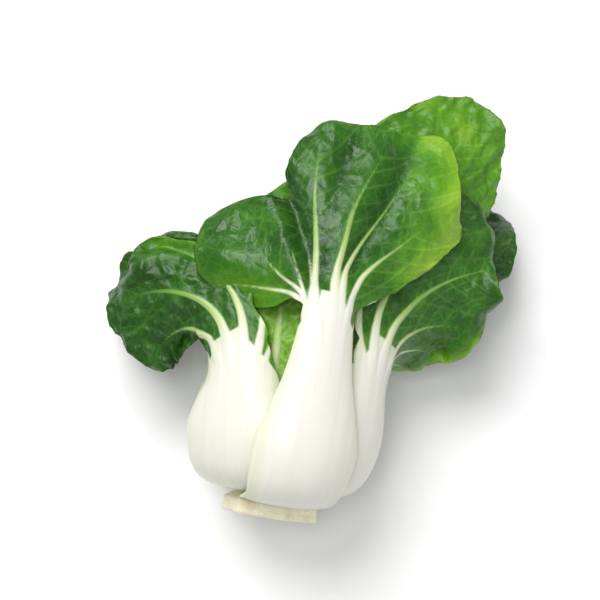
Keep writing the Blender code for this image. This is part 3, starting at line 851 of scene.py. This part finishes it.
def room_round(grids, normals, halves_thick):
    """How far each control point's surface may move outward and inward before it would meet
    another leaf, half of each gap being the other leaf's."""
    count, rows, columns = halves_thick.shape
    fine, thick = refined(grids), refined(halves_thick)
    room = np.full((2, count, rows, columns), MOST_ROOM)
    for k in range(count):
        others = np.concatenate([fine[j] for j in range(count) if j != k])
        other_thick = np.concatenate([thick[j] for j in range(count) if j != k])
        apart = others[None] - grids[k].reshape(-1, 3)[:, None]
        gap = np.einsum("ijk,ik->ij", apart, normals[k].reshape(-1, 3))
        aside = np.sqrt(np.maximum((apart**2).sum(axis=-1) - gap**2, 0.0))
        spare = np.abs(gap) - other_thick[None] - halves_thick[k].reshape(-1, 1)
        spare = np.maximum(spare + LAMINA, 0.3) / 2
        for side, facing in enumerate((gap > 0, gap < 0)):
            reach = np.where(facing & (aside < ROOM_REACH), spare, MOST_ROOM).min(axis=1)
            room[side, k] = np.minimum(reach, MOST_ROOM).reshape(rows, columns)
    return room


def tone_of(leaf, look, x, y, edge, rib):
    """How light a green the blade is, from 0 to 1."""
    past_neck = y - leaf.neck
    tone = look.tone + sum(most * noise(x, y, size, seed) for most, size, seed in TONE_PATCHES)
    for away, (most, length) in ((rib, LIGHTER_BY_RIBS), (past_neck, LIGHTER_BY_NECK)):
        tone = tone + most * np.exp(-np.maximum(away, 0) / length)
    tone = tone + LIGHTER_AT_MARGIN[0] * ramp(edge, LIGHTER_AT_MARGIN[1], 0.0)
    for amount, *ramps in look.light:
        for value, ends in zip((x, past_neck, edge), ramps):
            if ends:
                amount = amount * ramp(value, *ends)
        tone = tone + amount
    return np.clip(tone, 0.0, 1.0)


def margin_curl(points, edge, tightness):
    """How a margin moves when the band along it curls outward by its tightness."""
    along_rows, along_columns = np.gradient(points, axis=(0, 1))
    lengthways, across = (slope[..., None] for slope in np.gradient(edge))
    a = (along_columns**2).sum(axis=-1, keepdims=True)
    b = (along_columns * along_rows).sum(axis=-1, keepdims=True)
    c = (along_rows**2).sum(axis=-1, keepdims=True)
    inward = (c * across - b * lengthways) * along_columns
    inward = inward + (a * lengthways - b * across) * along_rows
    inward /= np.linalg.norm(inward, axis=-1, keepdims=True) + 1e-9
    run = np.maximum(CURL_WIDTH - edge, 0.0)[..., None]
    tightness = tightness[..., None]
    safe = np.where(np.abs(tightness) < 1e-4, 1e-4, tightness)
    angle = safe * run
    shortened = run - np.sin(angle) / safe
    raised = (1 - np.cos(angle)) / safe
    return shortened * inward, raised


def limited(move, room_out, room_in):
    """The move along the normal, eased so that it stays within the room on either side."""
    room = np.where(move > 0, room_out, room_in)
    return room * np.tanh(move / room)


def even_normals(points, outward):
    """Unit normals, evened out because the grid's corners are squeezed."""
    normals = smoothed(normals_of(points, outward), NORMAL_ROUNDS)
    return normals / (np.linalg.norm(normals, axis=-1, keepdims=True) + 1e-9)


def leaf_shapes(rank, leaf, moved, room):
    """The outer and inner skins of a leaf as grids of points, and what its finish reads."""
    look, seed = LOOKS[leaf.name], rank * 7.3
    step = GRID_STEP
    rows = np.linspace(0.0, leaf.length, round(leaf.length / step))
    columns = np.linspace(-1.0, 1.0, round(2 * leaf.half_width / step))
    x, y, rows, columns = uneven_outline(leaf, look, rows, columns, seed)
    points, outward = surface_of(leaf, spine_of(leaf, rank), x, y)
    by_row = spline_weights(control_rows(leaf), rows.ravel())
    by_column = spline_weights(np.linspace(-1.0, 1.0, COLUMNS), columns.ravel())

    def from_control(field):
        blended = np.einsum("pr,rc...,pc->p...", by_row, field, by_column, optimize=True)
        return blended.reshape(*x.shape, *field.shape[2:])

    points = points + from_control(moved)
    normals = even_normals(points, outward)
    room_out, room_in = (np.maximum(from_control(side), LEAST_ROOM) for side in room)

    margin = border_of(x, y)[::2]
    edge, _ = line_distance(x, y, [margin], [np.zeros(len(margin))], EDGE_REACH)
    ribs, rib_widths = rib_fan(leaf, look)
    rib, breadth = line_distance(x, y, ribs, rib_widths, RIB_FIELD_REACH)
    veins, vein_widths = side_veins(leaf, ribs, seed)
    vein, _ = line_distance(x, y, veins, vein_widths, VEIN_FIELD_REACH)
    past_neck = y - leaf.neck
    stalk = 1 - ramp(past_neck, *STALK_END)
    ending = ramp(past_neck, *WHITE_END)
    body = np.abs(x) - half_width_of(leaf, np.minimum(y, leaf.neck)) * (1 - BODY_NARROWING * ending)
    body = np.maximum(body + 0.6 - 2.5 * (1 - ending), past_neck - WHITE_END[1])
    wide = np.maximum(breadth, 0.05)
    rib_profile = np.sqrt(np.clip(1 - ((rib + breadth) / wide) ** 2, 0.0, 1.0))
    rib = np.minimum(rib, body)

    open_blade = smoothstep((past_neck - 1.0) / OPEN_BLADE_LENGTH)
    clear_of_ribs = smoothstep(rib / 3.0) * open_blade
    pucker = cells(x, y, PUCKER_SIZE, seed) ** 2 - 0.5
    pucker = pucker + FINE_PUCKER * noise(x, y, FINE_PUCKER_SIZE, seed + 4)
    pucker = look.crinkle * (pucker + VEIN_HOLLOW * smoothstep(np.maximum(vein, 0.0) / 2.0))
    billow = BILLOW * noise(x, y, BILLOW_LENGTH, seed + 5) * smoothstep(rib / 9.0) * open_blade
    to_and_fro = noise(x, y, CURL_LENGTH, seed + 6) + 0.35 * noise(x, y, 6.0, seed + 7)
    cornered = np.linspace(0.0, 1.0, x.shape[0])[:, None] * np.abs(np.linspace(-1.0, 1.0, x.shape[1]))
    tightness = CURL_GAIN * look.ruffle * to_and_fro * open_blade * (1 - cornered**6) ** 2
    shortened, raised = margin_curl(points, edge, tightness)
    move = pucker * clear_of_ribs + billow + raised[..., 0]
    shade = np.zeros_like(x)
    for fold in look.folds:
        folded, shaded = crease(x, y, *fold)
        move, shade = move + folded * open_blade, shade + shaded * open_blade
    share = limited(move, room_out, room_in)
    points = points + normals * share[..., None] + shortened
    normals = even_normals(points, outward)

    lamina = (RIM + (LAMINA - RIM) * smoothstep(edge / RIM_WIDTH)) / 2
    thick = lamina + np.maximum(half_thickness_of(leaf, x, y) - lamina, 0.0) * stalk
    rooted = smoothstep((past_neck + RIB_ROOT) / RIB_ROOT)
    ridge = rib_profile * wide * (1 - (1 - RIB_IN_STALK) * stalk) * rooted
    ridges = STALK_RIDGE * noise(x, 0.05 * y, STALK_RIDGE_SIZE, seed + 8) * stalk * smoothstep(edge / 3.0)
    bump = np.exp(-np.maximum(vein, 0.0) ** 2 / VEIN_SOFTNESS) * clear_of_ribs
    outer = points + normals * (thick + RIB_OUT * ridge + ridges + VEIN_OUT * bump)[..., None]
    inner = points - normals * (thick + RIB_IN * ridge - VEIN_IN * bump)[..., None]
    fields = {
        "rib": rib,
        "vein": vein,
        "pale": 1 - smoothstep((past_neck + 4.0) / (PALE_SHARE * (leaf.length - leaf.neck))),
        # The tone holds the blade's own greens and, taken off them, the painted shade of the creases
        "tone": np.clip(tone_of(leaf, look, x, y, edge, rib) - CREASE_PAINTED_SHADE * shade, 0.0, 1.0),
        "tint": stalk_tint(leaf, look, x, y),
        "edge": edge,
    }
    return outer, inner, fields, x, y


def stalk_tint(leaf, look, x, y):
    """How green the stalk is: more at its sides and foot, and near the neck's sides."""
    share = np.abs(x) / half_width_of(leaf, y)
    foot = 1 - smoothstep(y / 20.0)
    streaks = noise(x, 0.04 * y, 4.0, 9)
    return np.clip(look.tint + 0.35 * share**3 + 0.22 * foot + 0.08 * streaks, 0.0, 1.0)


def shell_mesh(name, outer, inner, fields, x, y):
    """A closed mesh with an outer and an inner skin, its fields as attributes, and a map."""
    rows, columns = x.shape
    index = np.arange(rows * columns).reshape(rows, columns)
    low, beside = index[:-1, :-1].ravel(), index[:-1, 1:].ravel()
    across, after = index[1:, 1:].ravel(), index[1:, :-1].ravel()
    outer_faces = np.column_stack([low, beside, across, after])
    inner_faces = outer_faces[:, ::-1] + rows * columns
    rim = np.concatenate([index[0, :], index[1:, -1], index[-1, -2::-1], index[-2:0:-1, 0]])
    ahead = np.roll(rim, -1)
    rim_faces = np.column_stack([ahead, rim, rim + rows * columns, ahead + rows * columns])
    faces = np.concatenate([outer_faces, inner_faces, rim_faces])
    places = np.concatenate([outer.reshape(-1, 3), inner.reshape(-1, 3)]) * MM

    mesh = bpy.data.meshes.new(name)
    mesh.vertices.add(len(places))
    mesh.vertices.foreach_set("co", places.astype(np.float32).ravel())
    mesh.loops.add(faces.size)
    mesh.loops.foreach_set("vertex_index", faces.astype(np.int32).ravel())
    mesh.polygons.add(len(faces))
    mesh.polygons.foreach_set("loop_start", np.arange(0, faces.size, 4, dtype=np.int32))
    mesh.update(calc_edges=True)
    mesh.shade_smooth()
    for key, field in fields.items():
        made = mesh.attributes.new(key, "FLOAT", "POINT")
        made.data.foreach_set("value", np.tile(field.ravel(), 2).astype(np.float32))
    flat = np.column_stack([x.ravel(), y.ravel(), np.zeros(x.size)])
    made = mesh.attributes.new("flat", "FLOAT_VECTOR", "POINT")
    made.data.foreach_set("vector", np.concatenate([flat, flat]).astype(np.float32).ravel())

    scale = max(MAP_ROOM[0] * np.abs(x).max(), MAP_ROOM[1] * y.max())
    u, v = x.ravel() / scale, MAP_FOOT + y.ravel() / scale
    spots = np.concatenate([np.column_stack([middle + u, v]) for middle in MAP_MIDDLES])
    corners = spots[faces]
    outward = spots[rim] - np.array([MAP_MIDDLES[0], 0.5 * y.max() / scale])
    pushed = spots[rim] + MAP_RIM * outward / np.linalg.norm(outward, axis=1, keepdims=True)
    corners[-len(rim) :, 2], corners[-len(rim) :, 3] = pushed, np.roll(pushed, -1, axis=0)
    made = mesh.uv_layers.new(name="OFBake")
    made.data.foreach_set("uv", corners.astype(np.float32).ravel())
    return mesh


# ---- The butt ----

BUTT_SIDES = 160
# (height along the axis, radius), from the middle of the cut face out, up the side and in
BUTT_PROFILE = [
    (0.35, 0.0), (0.3, 3.0), (0.2, 6.0), (0.05, 9.0), (0.0, 12.0), (0.0, 14.6),
    (0.15, 15.7), (0.6, 16.2), (1.4, 16.2), (2.6, 15.9), (3.8, 16.0), (4.7, 15.7),
    (5.2, 14.9), (6.0, 13.6), (8.8, 10.8), (11.8, 8.2), (15.8, 5.2), (20.1, 2.0), (20.3, 0.0),
]
BUTT_RINGS = 90
SIDE_RADIUS = (12.0, 16.0)  # where the side begins, and where it has its full unevenness
SIDE_HEIGHT = (6.5, 4.5)
SIDE_STROKES = 7  # of the knife, round the side
SIDE_NOTCH = 0.5
FACE_HEIGHT = (4.5, 1.5)
FACE_UNEVENNESS = 0.18


def butt_mesh(name):
    """The cut butt turned about the head's axis, its side cut in a few uneven strokes."""
    right, axis, up = head_axes()
    heights, radii = np.maximum(splined(BUTT_PROFILE, BUTT_RINGS), 0.0).T
    turns = np.arange(BUTT_SIDES) * 2 * math.pi / BUTT_SIDES
    height, turn = heights[:, None], turns[None, :]
    radius = radii[:, None] + 0 * turn
    round_x, round_y = radius * np.cos(turn), radius * np.sin(turn)
    side = ramp(radius, *SIDE_RADIUS) * ramp(height, *SIDE_HEIGHT)
    strokes = SIDE_NOTCH * (np.abs(np.sin(SIDE_STROKES / 2 * turn + 0.6)) - 0.9)
    radius = radius + side * (strokes + 0.25 * noise(round_x, round_y, 6.0, 3))
    uneven = FACE_UNEVENNESS * noise(round_x, round_y, 5.0, 4) * ramp(height, *FACE_HEIGHT)
    on_face = height < FACE_HEIGHT[1]
    height = np.where(on_face, np.maximum(height + uneven, 0.0), height + uneven)
    ring = np.cos(turn)[..., None] * right + np.sin(turn)[..., None] * up
    places = axis * height[..., None] + ring * radius[..., None]
    index = np.arange(BUTT_RINGS * BUTT_SIDES).reshape(BUTT_RINGS, BUTT_SIDES)
    following = np.roll(index, -1, axis=1)
    faces = np.column_stack([
        following[:-1].ravel(), index[:-1].ravel(), index[1:].ravel(), following[1:].ravel(),
    ])
    mesh = bpy.data.meshes.new(name)
    mesh.from_pydata((places.reshape(-1, 3) * MM).tolist(), [], faces.tolist())
    made = mesh.attributes.new("flat", "FLOAT_VECTOR", "POINT")
    flat = np.stack([round_x, round_y, 0 * radius + height], axis=-1)
    made.data.foreach_set("vector", flat.astype(np.float32).ravel())
    made = mesh.attributes.new("rim", "FLOAT", "POINT")
    made.data.foreach_set("value", np.broadcast_to(side, radius.shape).astype(np.float32).ravel())
    mesh.shade_smooth()
    return mesh


# ---- Finishes ----


class Finish:
    """A material under construction: its tree, and short ways to add and join nodes."""

    def __init__(self, name):
        self.material = bpy.data.materials.new(name)
        self.material.use_nodes = True
        self.tree = self.material.node_tree
        self.shader = self.tree.nodes["Principled BSDF"]

    def join(self, socket, value):
        if isinstance(value, bpy.types.NodeSocket):
            self.tree.links.new(value, socket)
        else:
            socket.default_value = value

    def set(self, **inputs):
        """Set the shader's inputs to values or link them to sockets."""
        for key, value in inputs.items():
            self.join(self.shader.inputs[key.replace("_", " ")], value)

    def node(self, kind, settings, inputs, output=0):
        """Add a node, set it up, join its inputs, and give one of its outputs."""
        made = self.tree.nodes.new("ShaderNode" + kind)
        for key, value in settings.items():
            setattr(made, key, value)
        for key, value in inputs.items():
            self.join(made.inputs[key], value)
        return made.outputs[output]

    def attribute(self, name, output="Fac"):
        return self.node("Attribute", {"attribute_name": name}, {}, output)

    def between(self, value, low, high, to_low=0.0, to_high=1.0):
        """The value's place between low and high, eased, as a number from to_low to to_high."""
        ends = {"From Min": low, "From Max": high, "To Min": to_low, "To Max": to_high}
        return self.node("MapRange", {"interpolation_type": "SMOOTHSTEP"}, {"Value": value, **ends})

    def mix(self, share, first, second, blend="MIX"):
        settings = {"data_type": "RGBA", "blend_type": blend}
        return self.node("Mix", settings, {0: share, 6: first, 7: second}, 2)

    def mix_numbers(self, share, first, second):
        return self.node("Mix", {"data_type": "FLOAT"}, {0: share, 2: first, 3: second})

    def math(self, operation, first, second):
        return self.node("Math", {"operation": operation}, {0: first, 1: second})

    def ramp(self, value, stops):
        colour = self.node("ValToRGB", {}, {"Fac": value}, "Color")
        elements = colour.node.color_ramp.elements
        for _ in stops[2:]:
            elements.new(0.5)
        for element, (place, rgb) in zip(elements, stops):
            element.position, element.color = place, (*rgb, 1.0)
        return colour

    def stretched(self, vector, scale):
        inputs = {"Vector": vector, "Scale": scale}
        return self.node("Mapping", {"vector_type": "TEXTURE"}, inputs)

    def noise(self, vector, size, detail=2.0):
        """Noise from about 0 to 1 whose bumps are about size apart, in the vector's unit."""
        return self.node("TexNoise", {}, {"Vector": vector, "Scale": 1.0 / size, "Detail": detail}, "Fac")

    def borders(self, vector, size):
        """Distance to the borders of random cells of about that size, 0 at a border."""
        inputs = {"Vector": vector, "Scale": 1.0 / size}
        return self.node("TexVoronoi", {"feature": "DISTANCE_TO_EDGE"}, inputs, "Distance")

    def bump(self, height, distance):
        return self.node("Bump", {}, {"Height": height, "Distance": distance, "Strength": 1.0}, "Normal")


BLADE_GREENS = [
    (0.0, (0.008, 0.052, 0.003)),
    (0.3, (0.022, 0.118, 0.004)),
    (0.6, (0.085, 0.260, 0.007)),
    (1.0, (0.240, 0.440, 0.018)),
]
VEIN_GREENS = [
    (0.0, (0.050, 0.170, 0.015)),
    (0.5, (0.170, 0.370, 0.040)),
    (1.0, (0.450, 0.620, 0.120)),
]
RIB_COLOURS = [
    (0.0, (0.250, 0.450, 0.090)),
    (0.35, (0.430, 0.610, 0.210)),
    (0.7, (0.680, 0.760, 0.460)),
    (1.0, (0.860, 0.870, 0.770)),
]
STALK_IVORY = (0.750, 0.742, 0.680, 1.0)
STALK_GREENISH = (0.560, 0.650, 0.320, 1.0)
RIM_BROWN = (0.060, 0.050, 0.012, 1.0)
WHITENING = (1.14, 1.12, 1.27, 1.0)  # lifts the ribs and stalk, the blue in them most
BUTT_CREAM = (0.86, 0.81, 0.60, 1.0)
BUTT_PALE = (0.90, 0.87, 0.72, 1.0)
BUTT_FIBRE = (0.66, 0.60, 0.38, 1.0)
BUTT_WALL = (0.62, 0.60, 0.36, 1.0)
BUTT_DRY = (0.60, 0.47, 0.24, 1.0)
BLADE_RELIEF = 0.11 * MM


def leaf_finish(slot, blade_roughness):
    """Ivory stalk and ribs, and a green, veined, glossy blade, told apart by attributes."""
    finish = Finish(slot)
    flat = finish.attribute("flat", "Vector")
    rib, vein = finish.attribute("rib"), finish.attribute("vein")
    tone, tint = finish.attribute("tone"), finish.attribute("tint")
    blotch = finish.noise(flat, 9.0, 4.0)
    grain = finish.noise(flat, 0.9, 3.0)
    wide_net, fine_net = finish.borders(flat, 3.4), finish.borders(flat, 1.25)

    varied = finish.math("ADD", tone, finish.between(blotch, 0.3, 0.7, -0.07, 0.07))
    green = finish.ramp(varied, BLADE_GREENS)
    light = finish.ramp(varied, VEIN_GREENS)
    net = finish.between(wide_net, 0.0, 0.10, 0.18, 0.0)
    net = finish.math("MAXIMUM", net, finish.between(fine_net, 0.0, 0.12, 0.08, 0.0))
    net = finish.math("MAXIMUM", net, finish.between(vein, -0.15, 0.5, 0.38, 0.0))
    blade = finish.mix(net, green, light)
    rim = finish.between(finish.attribute("edge"), 0.0, 0.7, 0.6, 0.0)
    rim = finish.math("MULTIPLY", rim, finish.between(blotch, 0.45, 0.6))
    blade = finish.mix(rim, blade, RIM_BROWN)

    streak = finish.noise(finish.stretched(flat, (1.0, 22.0, 1.0)), 1.6, 3.0)
    tinted = finish.math("ADD", tint, finish.between(streak, 0.3, 0.7, -0.10, 0.10))
    stalk = finish.mix(finish.between(tinted, 0.0, 1.0), STALK_IVORY, STALK_GREENISH)
    rib_colour = finish.ramp(finish.attribute("pale"), RIB_COLOURS)
    rib_colour = finish.mix(1.0, rib_colour, stalk, "MULTIPLY")
    rib_colour = finish.mix(1.0, rib_colour, WHITENING, "MULTIPLY")
    on_blade = finish.between(rib, -0.35, 0.45)

    gloss = finish.between(blotch, 0.3, 0.7, blade_roughness - 0.05, blade_roughness + 0.08)
    stalk_gloss = finish.between(streak, 0.3, 0.7, 0.27, 0.36)

    height = finish.math("MULTIPLY", finish.between(fine_net, 0.0, 0.35), 0.25)
    height = finish.math("ADD", finish.between(wide_net, 0.0, 0.35), height)
    height = finish.math("ADD", height, finish.math("MULTIPLY", grain, 0.15))
    height = finish.mix_numbers(on_blade, finish.math("MULTIPLY", streak, 0.5), height)
    finish.set(
        Base_Color=finish.mix(on_blade, rib_colour, blade),
        Roughness=finish.mix_numbers(on_blade, stalk_gloss, gloss),
        Normal=finish.bump(height, BLADE_RELIEF),
        Specular_IOR_Level=0.35,
        Subsurface_Weight=0.12,
        Subsurface_Radius=(1.0, 0.9, 0.5),
        Subsurface_Scale=2.0 * MM,
    )
    return finish.material


def butt_finish():
    """Damp cut stem: cream, with a fibrous face and a slightly browned, drier rim."""
    finish = Finish("butt")
    flat = finish.attribute("flat", "Vector")
    fibres = finish.noise(flat, 0.8, 4.0)
    patches = finish.noise(flat, 6.0, 3.0)
    cell_walls = finish.between(finish.borders(flat, 2.2), 0.0, 0.1, 0.25, 0.0)
    cream = finish.mix(finish.between(patches, 0.3, 0.7), BUTT_CREAM, BUTT_PALE)
    cream = finish.mix(finish.between(fibres, 0.35, 0.7, 0.0, 0.35), cream, BUTT_FIBRE)
    cream = finish.mix(cell_walls, cream, BUTT_WALL)
    dry = finish.math("MULTIPLY", finish.attribute("rim"), finish.between(patches, 0.45, 0.65, 0.0, 0.35))
    finish.set(
        Base_Color=finish.mix(dry, cream, BUTT_DRY),
        Roughness=finish.between(fibres, 0.3, 0.7, 0.45, 0.65),
        Normal=finish.bump(fibres, 0.15 * MM),
        Subsurface_Weight=0.15,
        Subsurface_Radius=(1.0, 0.8, 0.4),
        Subsurface_Scale=2.0 * MM,
    )
    return finish.material


def floor_finish():
    finish = Finish("floor")
    grain = finish.noise(finish.node("TexCoord", {}, {}, "Object"), 0.02, 2.0)
    white = finish.mix(finish.between(grain, 0.3, 0.7), (0.88, 0.88, 0.88, 1.0), (0.90, 0.90, 0.90, 1.0))
    finish.set(Base_Color=white, Roughness=0.9, Specular_IOR_Level=0.1)
    return finish.material


# ---- The studio ----

CAMERA_AZIMUTH = 9.0
CAMERA_ELEVATION = 76.0
CAMERA_LENS = 100.0
CAMERA_DISTANCE = 0.565
# (name, azimuth, elevation, distance, size, power)
LIGHTS = [
    ("key", -140.0, 63.0, 0.9, 0.6, 7.6),
    ("overhead", -20.0, 80.0, 1.1, 0.35, 3.0),
    ("fill", 60.0, 35.0, 1.2, 0.8, 1.4),
]
SKY_STRENGTH = 0.40
FLOOR_SIZE = 4.0


def direction_of(azimuth, elevation):
    """From the object towards a viewer: azimuth 0 is in front of the butt."""
    turn, rise = math.radians(azimuth), math.radians(elevation)
    return Vector((math.sin(turn) * math.cos(rise), -math.cos(turn) * math.cos(rise), math.sin(rise)))


def aim(thing, place, target):
    thing.location = place
    thing.rotation_euler = (target - place).to_track_quat("-Z", "Y").to_euler()
    bpy.context.scene.collection.objects.link(thing)


def add_camera(target):
    data = bpy.data.cameras.new("camera")
    data.lens = CAMERA_LENS
    data.clip_start, data.clip_end = 0.01, 10.0
    camera = bpy.data.objects.new("camera", data)
    aim(camera, target + CAMERA_DISTANCE * direction_of(CAMERA_AZIMUTH, CAMERA_ELEVATION), target)
    bpy.context.scene.camera = camera


def add_light(target, name, azimuth, elevation, distance, size, power):
    data = bpy.data.lights.new(name, "AREA")
    data.shape, data.size, data.energy = "DISK", size, power
    light = bpy.data.objects.new(name, data)
    aim(light, target + distance * direction_of(azimuth, elevation), target)


def add_studio(target):
    add_camera(target)
    for light in LIGHTS:
        add_light(target, *light)
    world = bpy.data.worlds.new("world")
    bpy.context.scene.world = world
    world.use_nodes = True
    sky = world.node_tree.nodes["Background"].inputs
    sky["Color"].default_value, sky["Strength"].default_value = (1.0, 1.0, 1.0, 1.0), SKY_STRENGTH
    bpy.context.scene.view_settings.view_transform = "Standard"


def add_floor():
    half = FLOOR_SIZE / 2
    mesh = bpy.data.meshes.new("floor")
    corners = [(-half, -half, 0.0), (half, -half, 0.0), (half, half, 0.0), (-half, half, 0.0)]
    mesh.from_pydata(corners, [], [(0, 1, 2, 3)])
    mesh.materials.append(floor_finish())
    floor = bpy.data.objects.new("floor", mesh)
    bpy.context.scene.collection.objects.link(floor)


# ---- Putting it together ----


def place(name, mesh, node, slot, finish, origin):
    """Add a piece in the row frame: it stands for its node and rides on the one body."""
    mesh.transform(Matrix.Translation(-Vector(origin) * MM))
    mesh.materials.append(finish)
    piece = bpy.data.objects.new(name, mesh)
    bpy.context.scene.collection.objects.link(piece)
    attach(piece, "root")
    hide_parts(node)


def row_origin(grids, normals, halves_thick):
    """Where the row frame's origin is in the head's, going by where the leaves' solids are."""
    offset = normals * halves_thick[..., None]
    corners = []
    for leaf, middle, half in zip(LEAVES, grids, offset):
        skins = np.concatenate([(middle + half).reshape(-1, 3), (middle - half).reshape(-1, 3)])
        corners.append(skins.min(axis=0) - np.array(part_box(leaf.name)[0]) / MM)
    return np.median(corners, axis=0)


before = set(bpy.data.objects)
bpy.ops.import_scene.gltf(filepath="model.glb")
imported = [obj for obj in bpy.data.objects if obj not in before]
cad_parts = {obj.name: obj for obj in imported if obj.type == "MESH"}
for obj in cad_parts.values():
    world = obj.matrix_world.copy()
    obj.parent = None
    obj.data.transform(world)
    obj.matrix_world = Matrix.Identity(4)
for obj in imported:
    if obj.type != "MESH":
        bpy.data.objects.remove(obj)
cad_low, cad_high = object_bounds()

add_studio((Vector(cad_low) + Vector(cad_high)) / 2)
add_floor()

moved, grids, normals, halves_thick = settled_leaves()
origin = row_origin(grids, normals, halves_thick)
room = room_round(grids, normals, halves_thick)
finishes = {
    "outer_leaf": leaf_finish("outer_leaf", 0.36),
    "inner_leaf": leaf_finish("inner_leaf", 0.40),
    "heart_leaf": leaf_finish("heart_leaf", 0.45),
}
for rank, leaf in enumerate(LEAVES):
    outer, inner, fields, x, y = leaf_shapes(rank, leaf, moved[rank], room[:, rank])
    for skin in (outer, inner):
        skin[..., 2] = np.maximum(skin[..., 2], origin[2])
    slot = LOOKS[leaf.name].slot
    piece_name = leaf.name + "_fine"
    mesh = shell_mesh(piece_name, outer, inner, fields, x, y)
    place(piece_name, mesh, leaf.name, slot, finishes[slot], origin)
place("butt_fine", butt_mesh("butt_fine"), "butt", "butt", butt_finish(), origin)
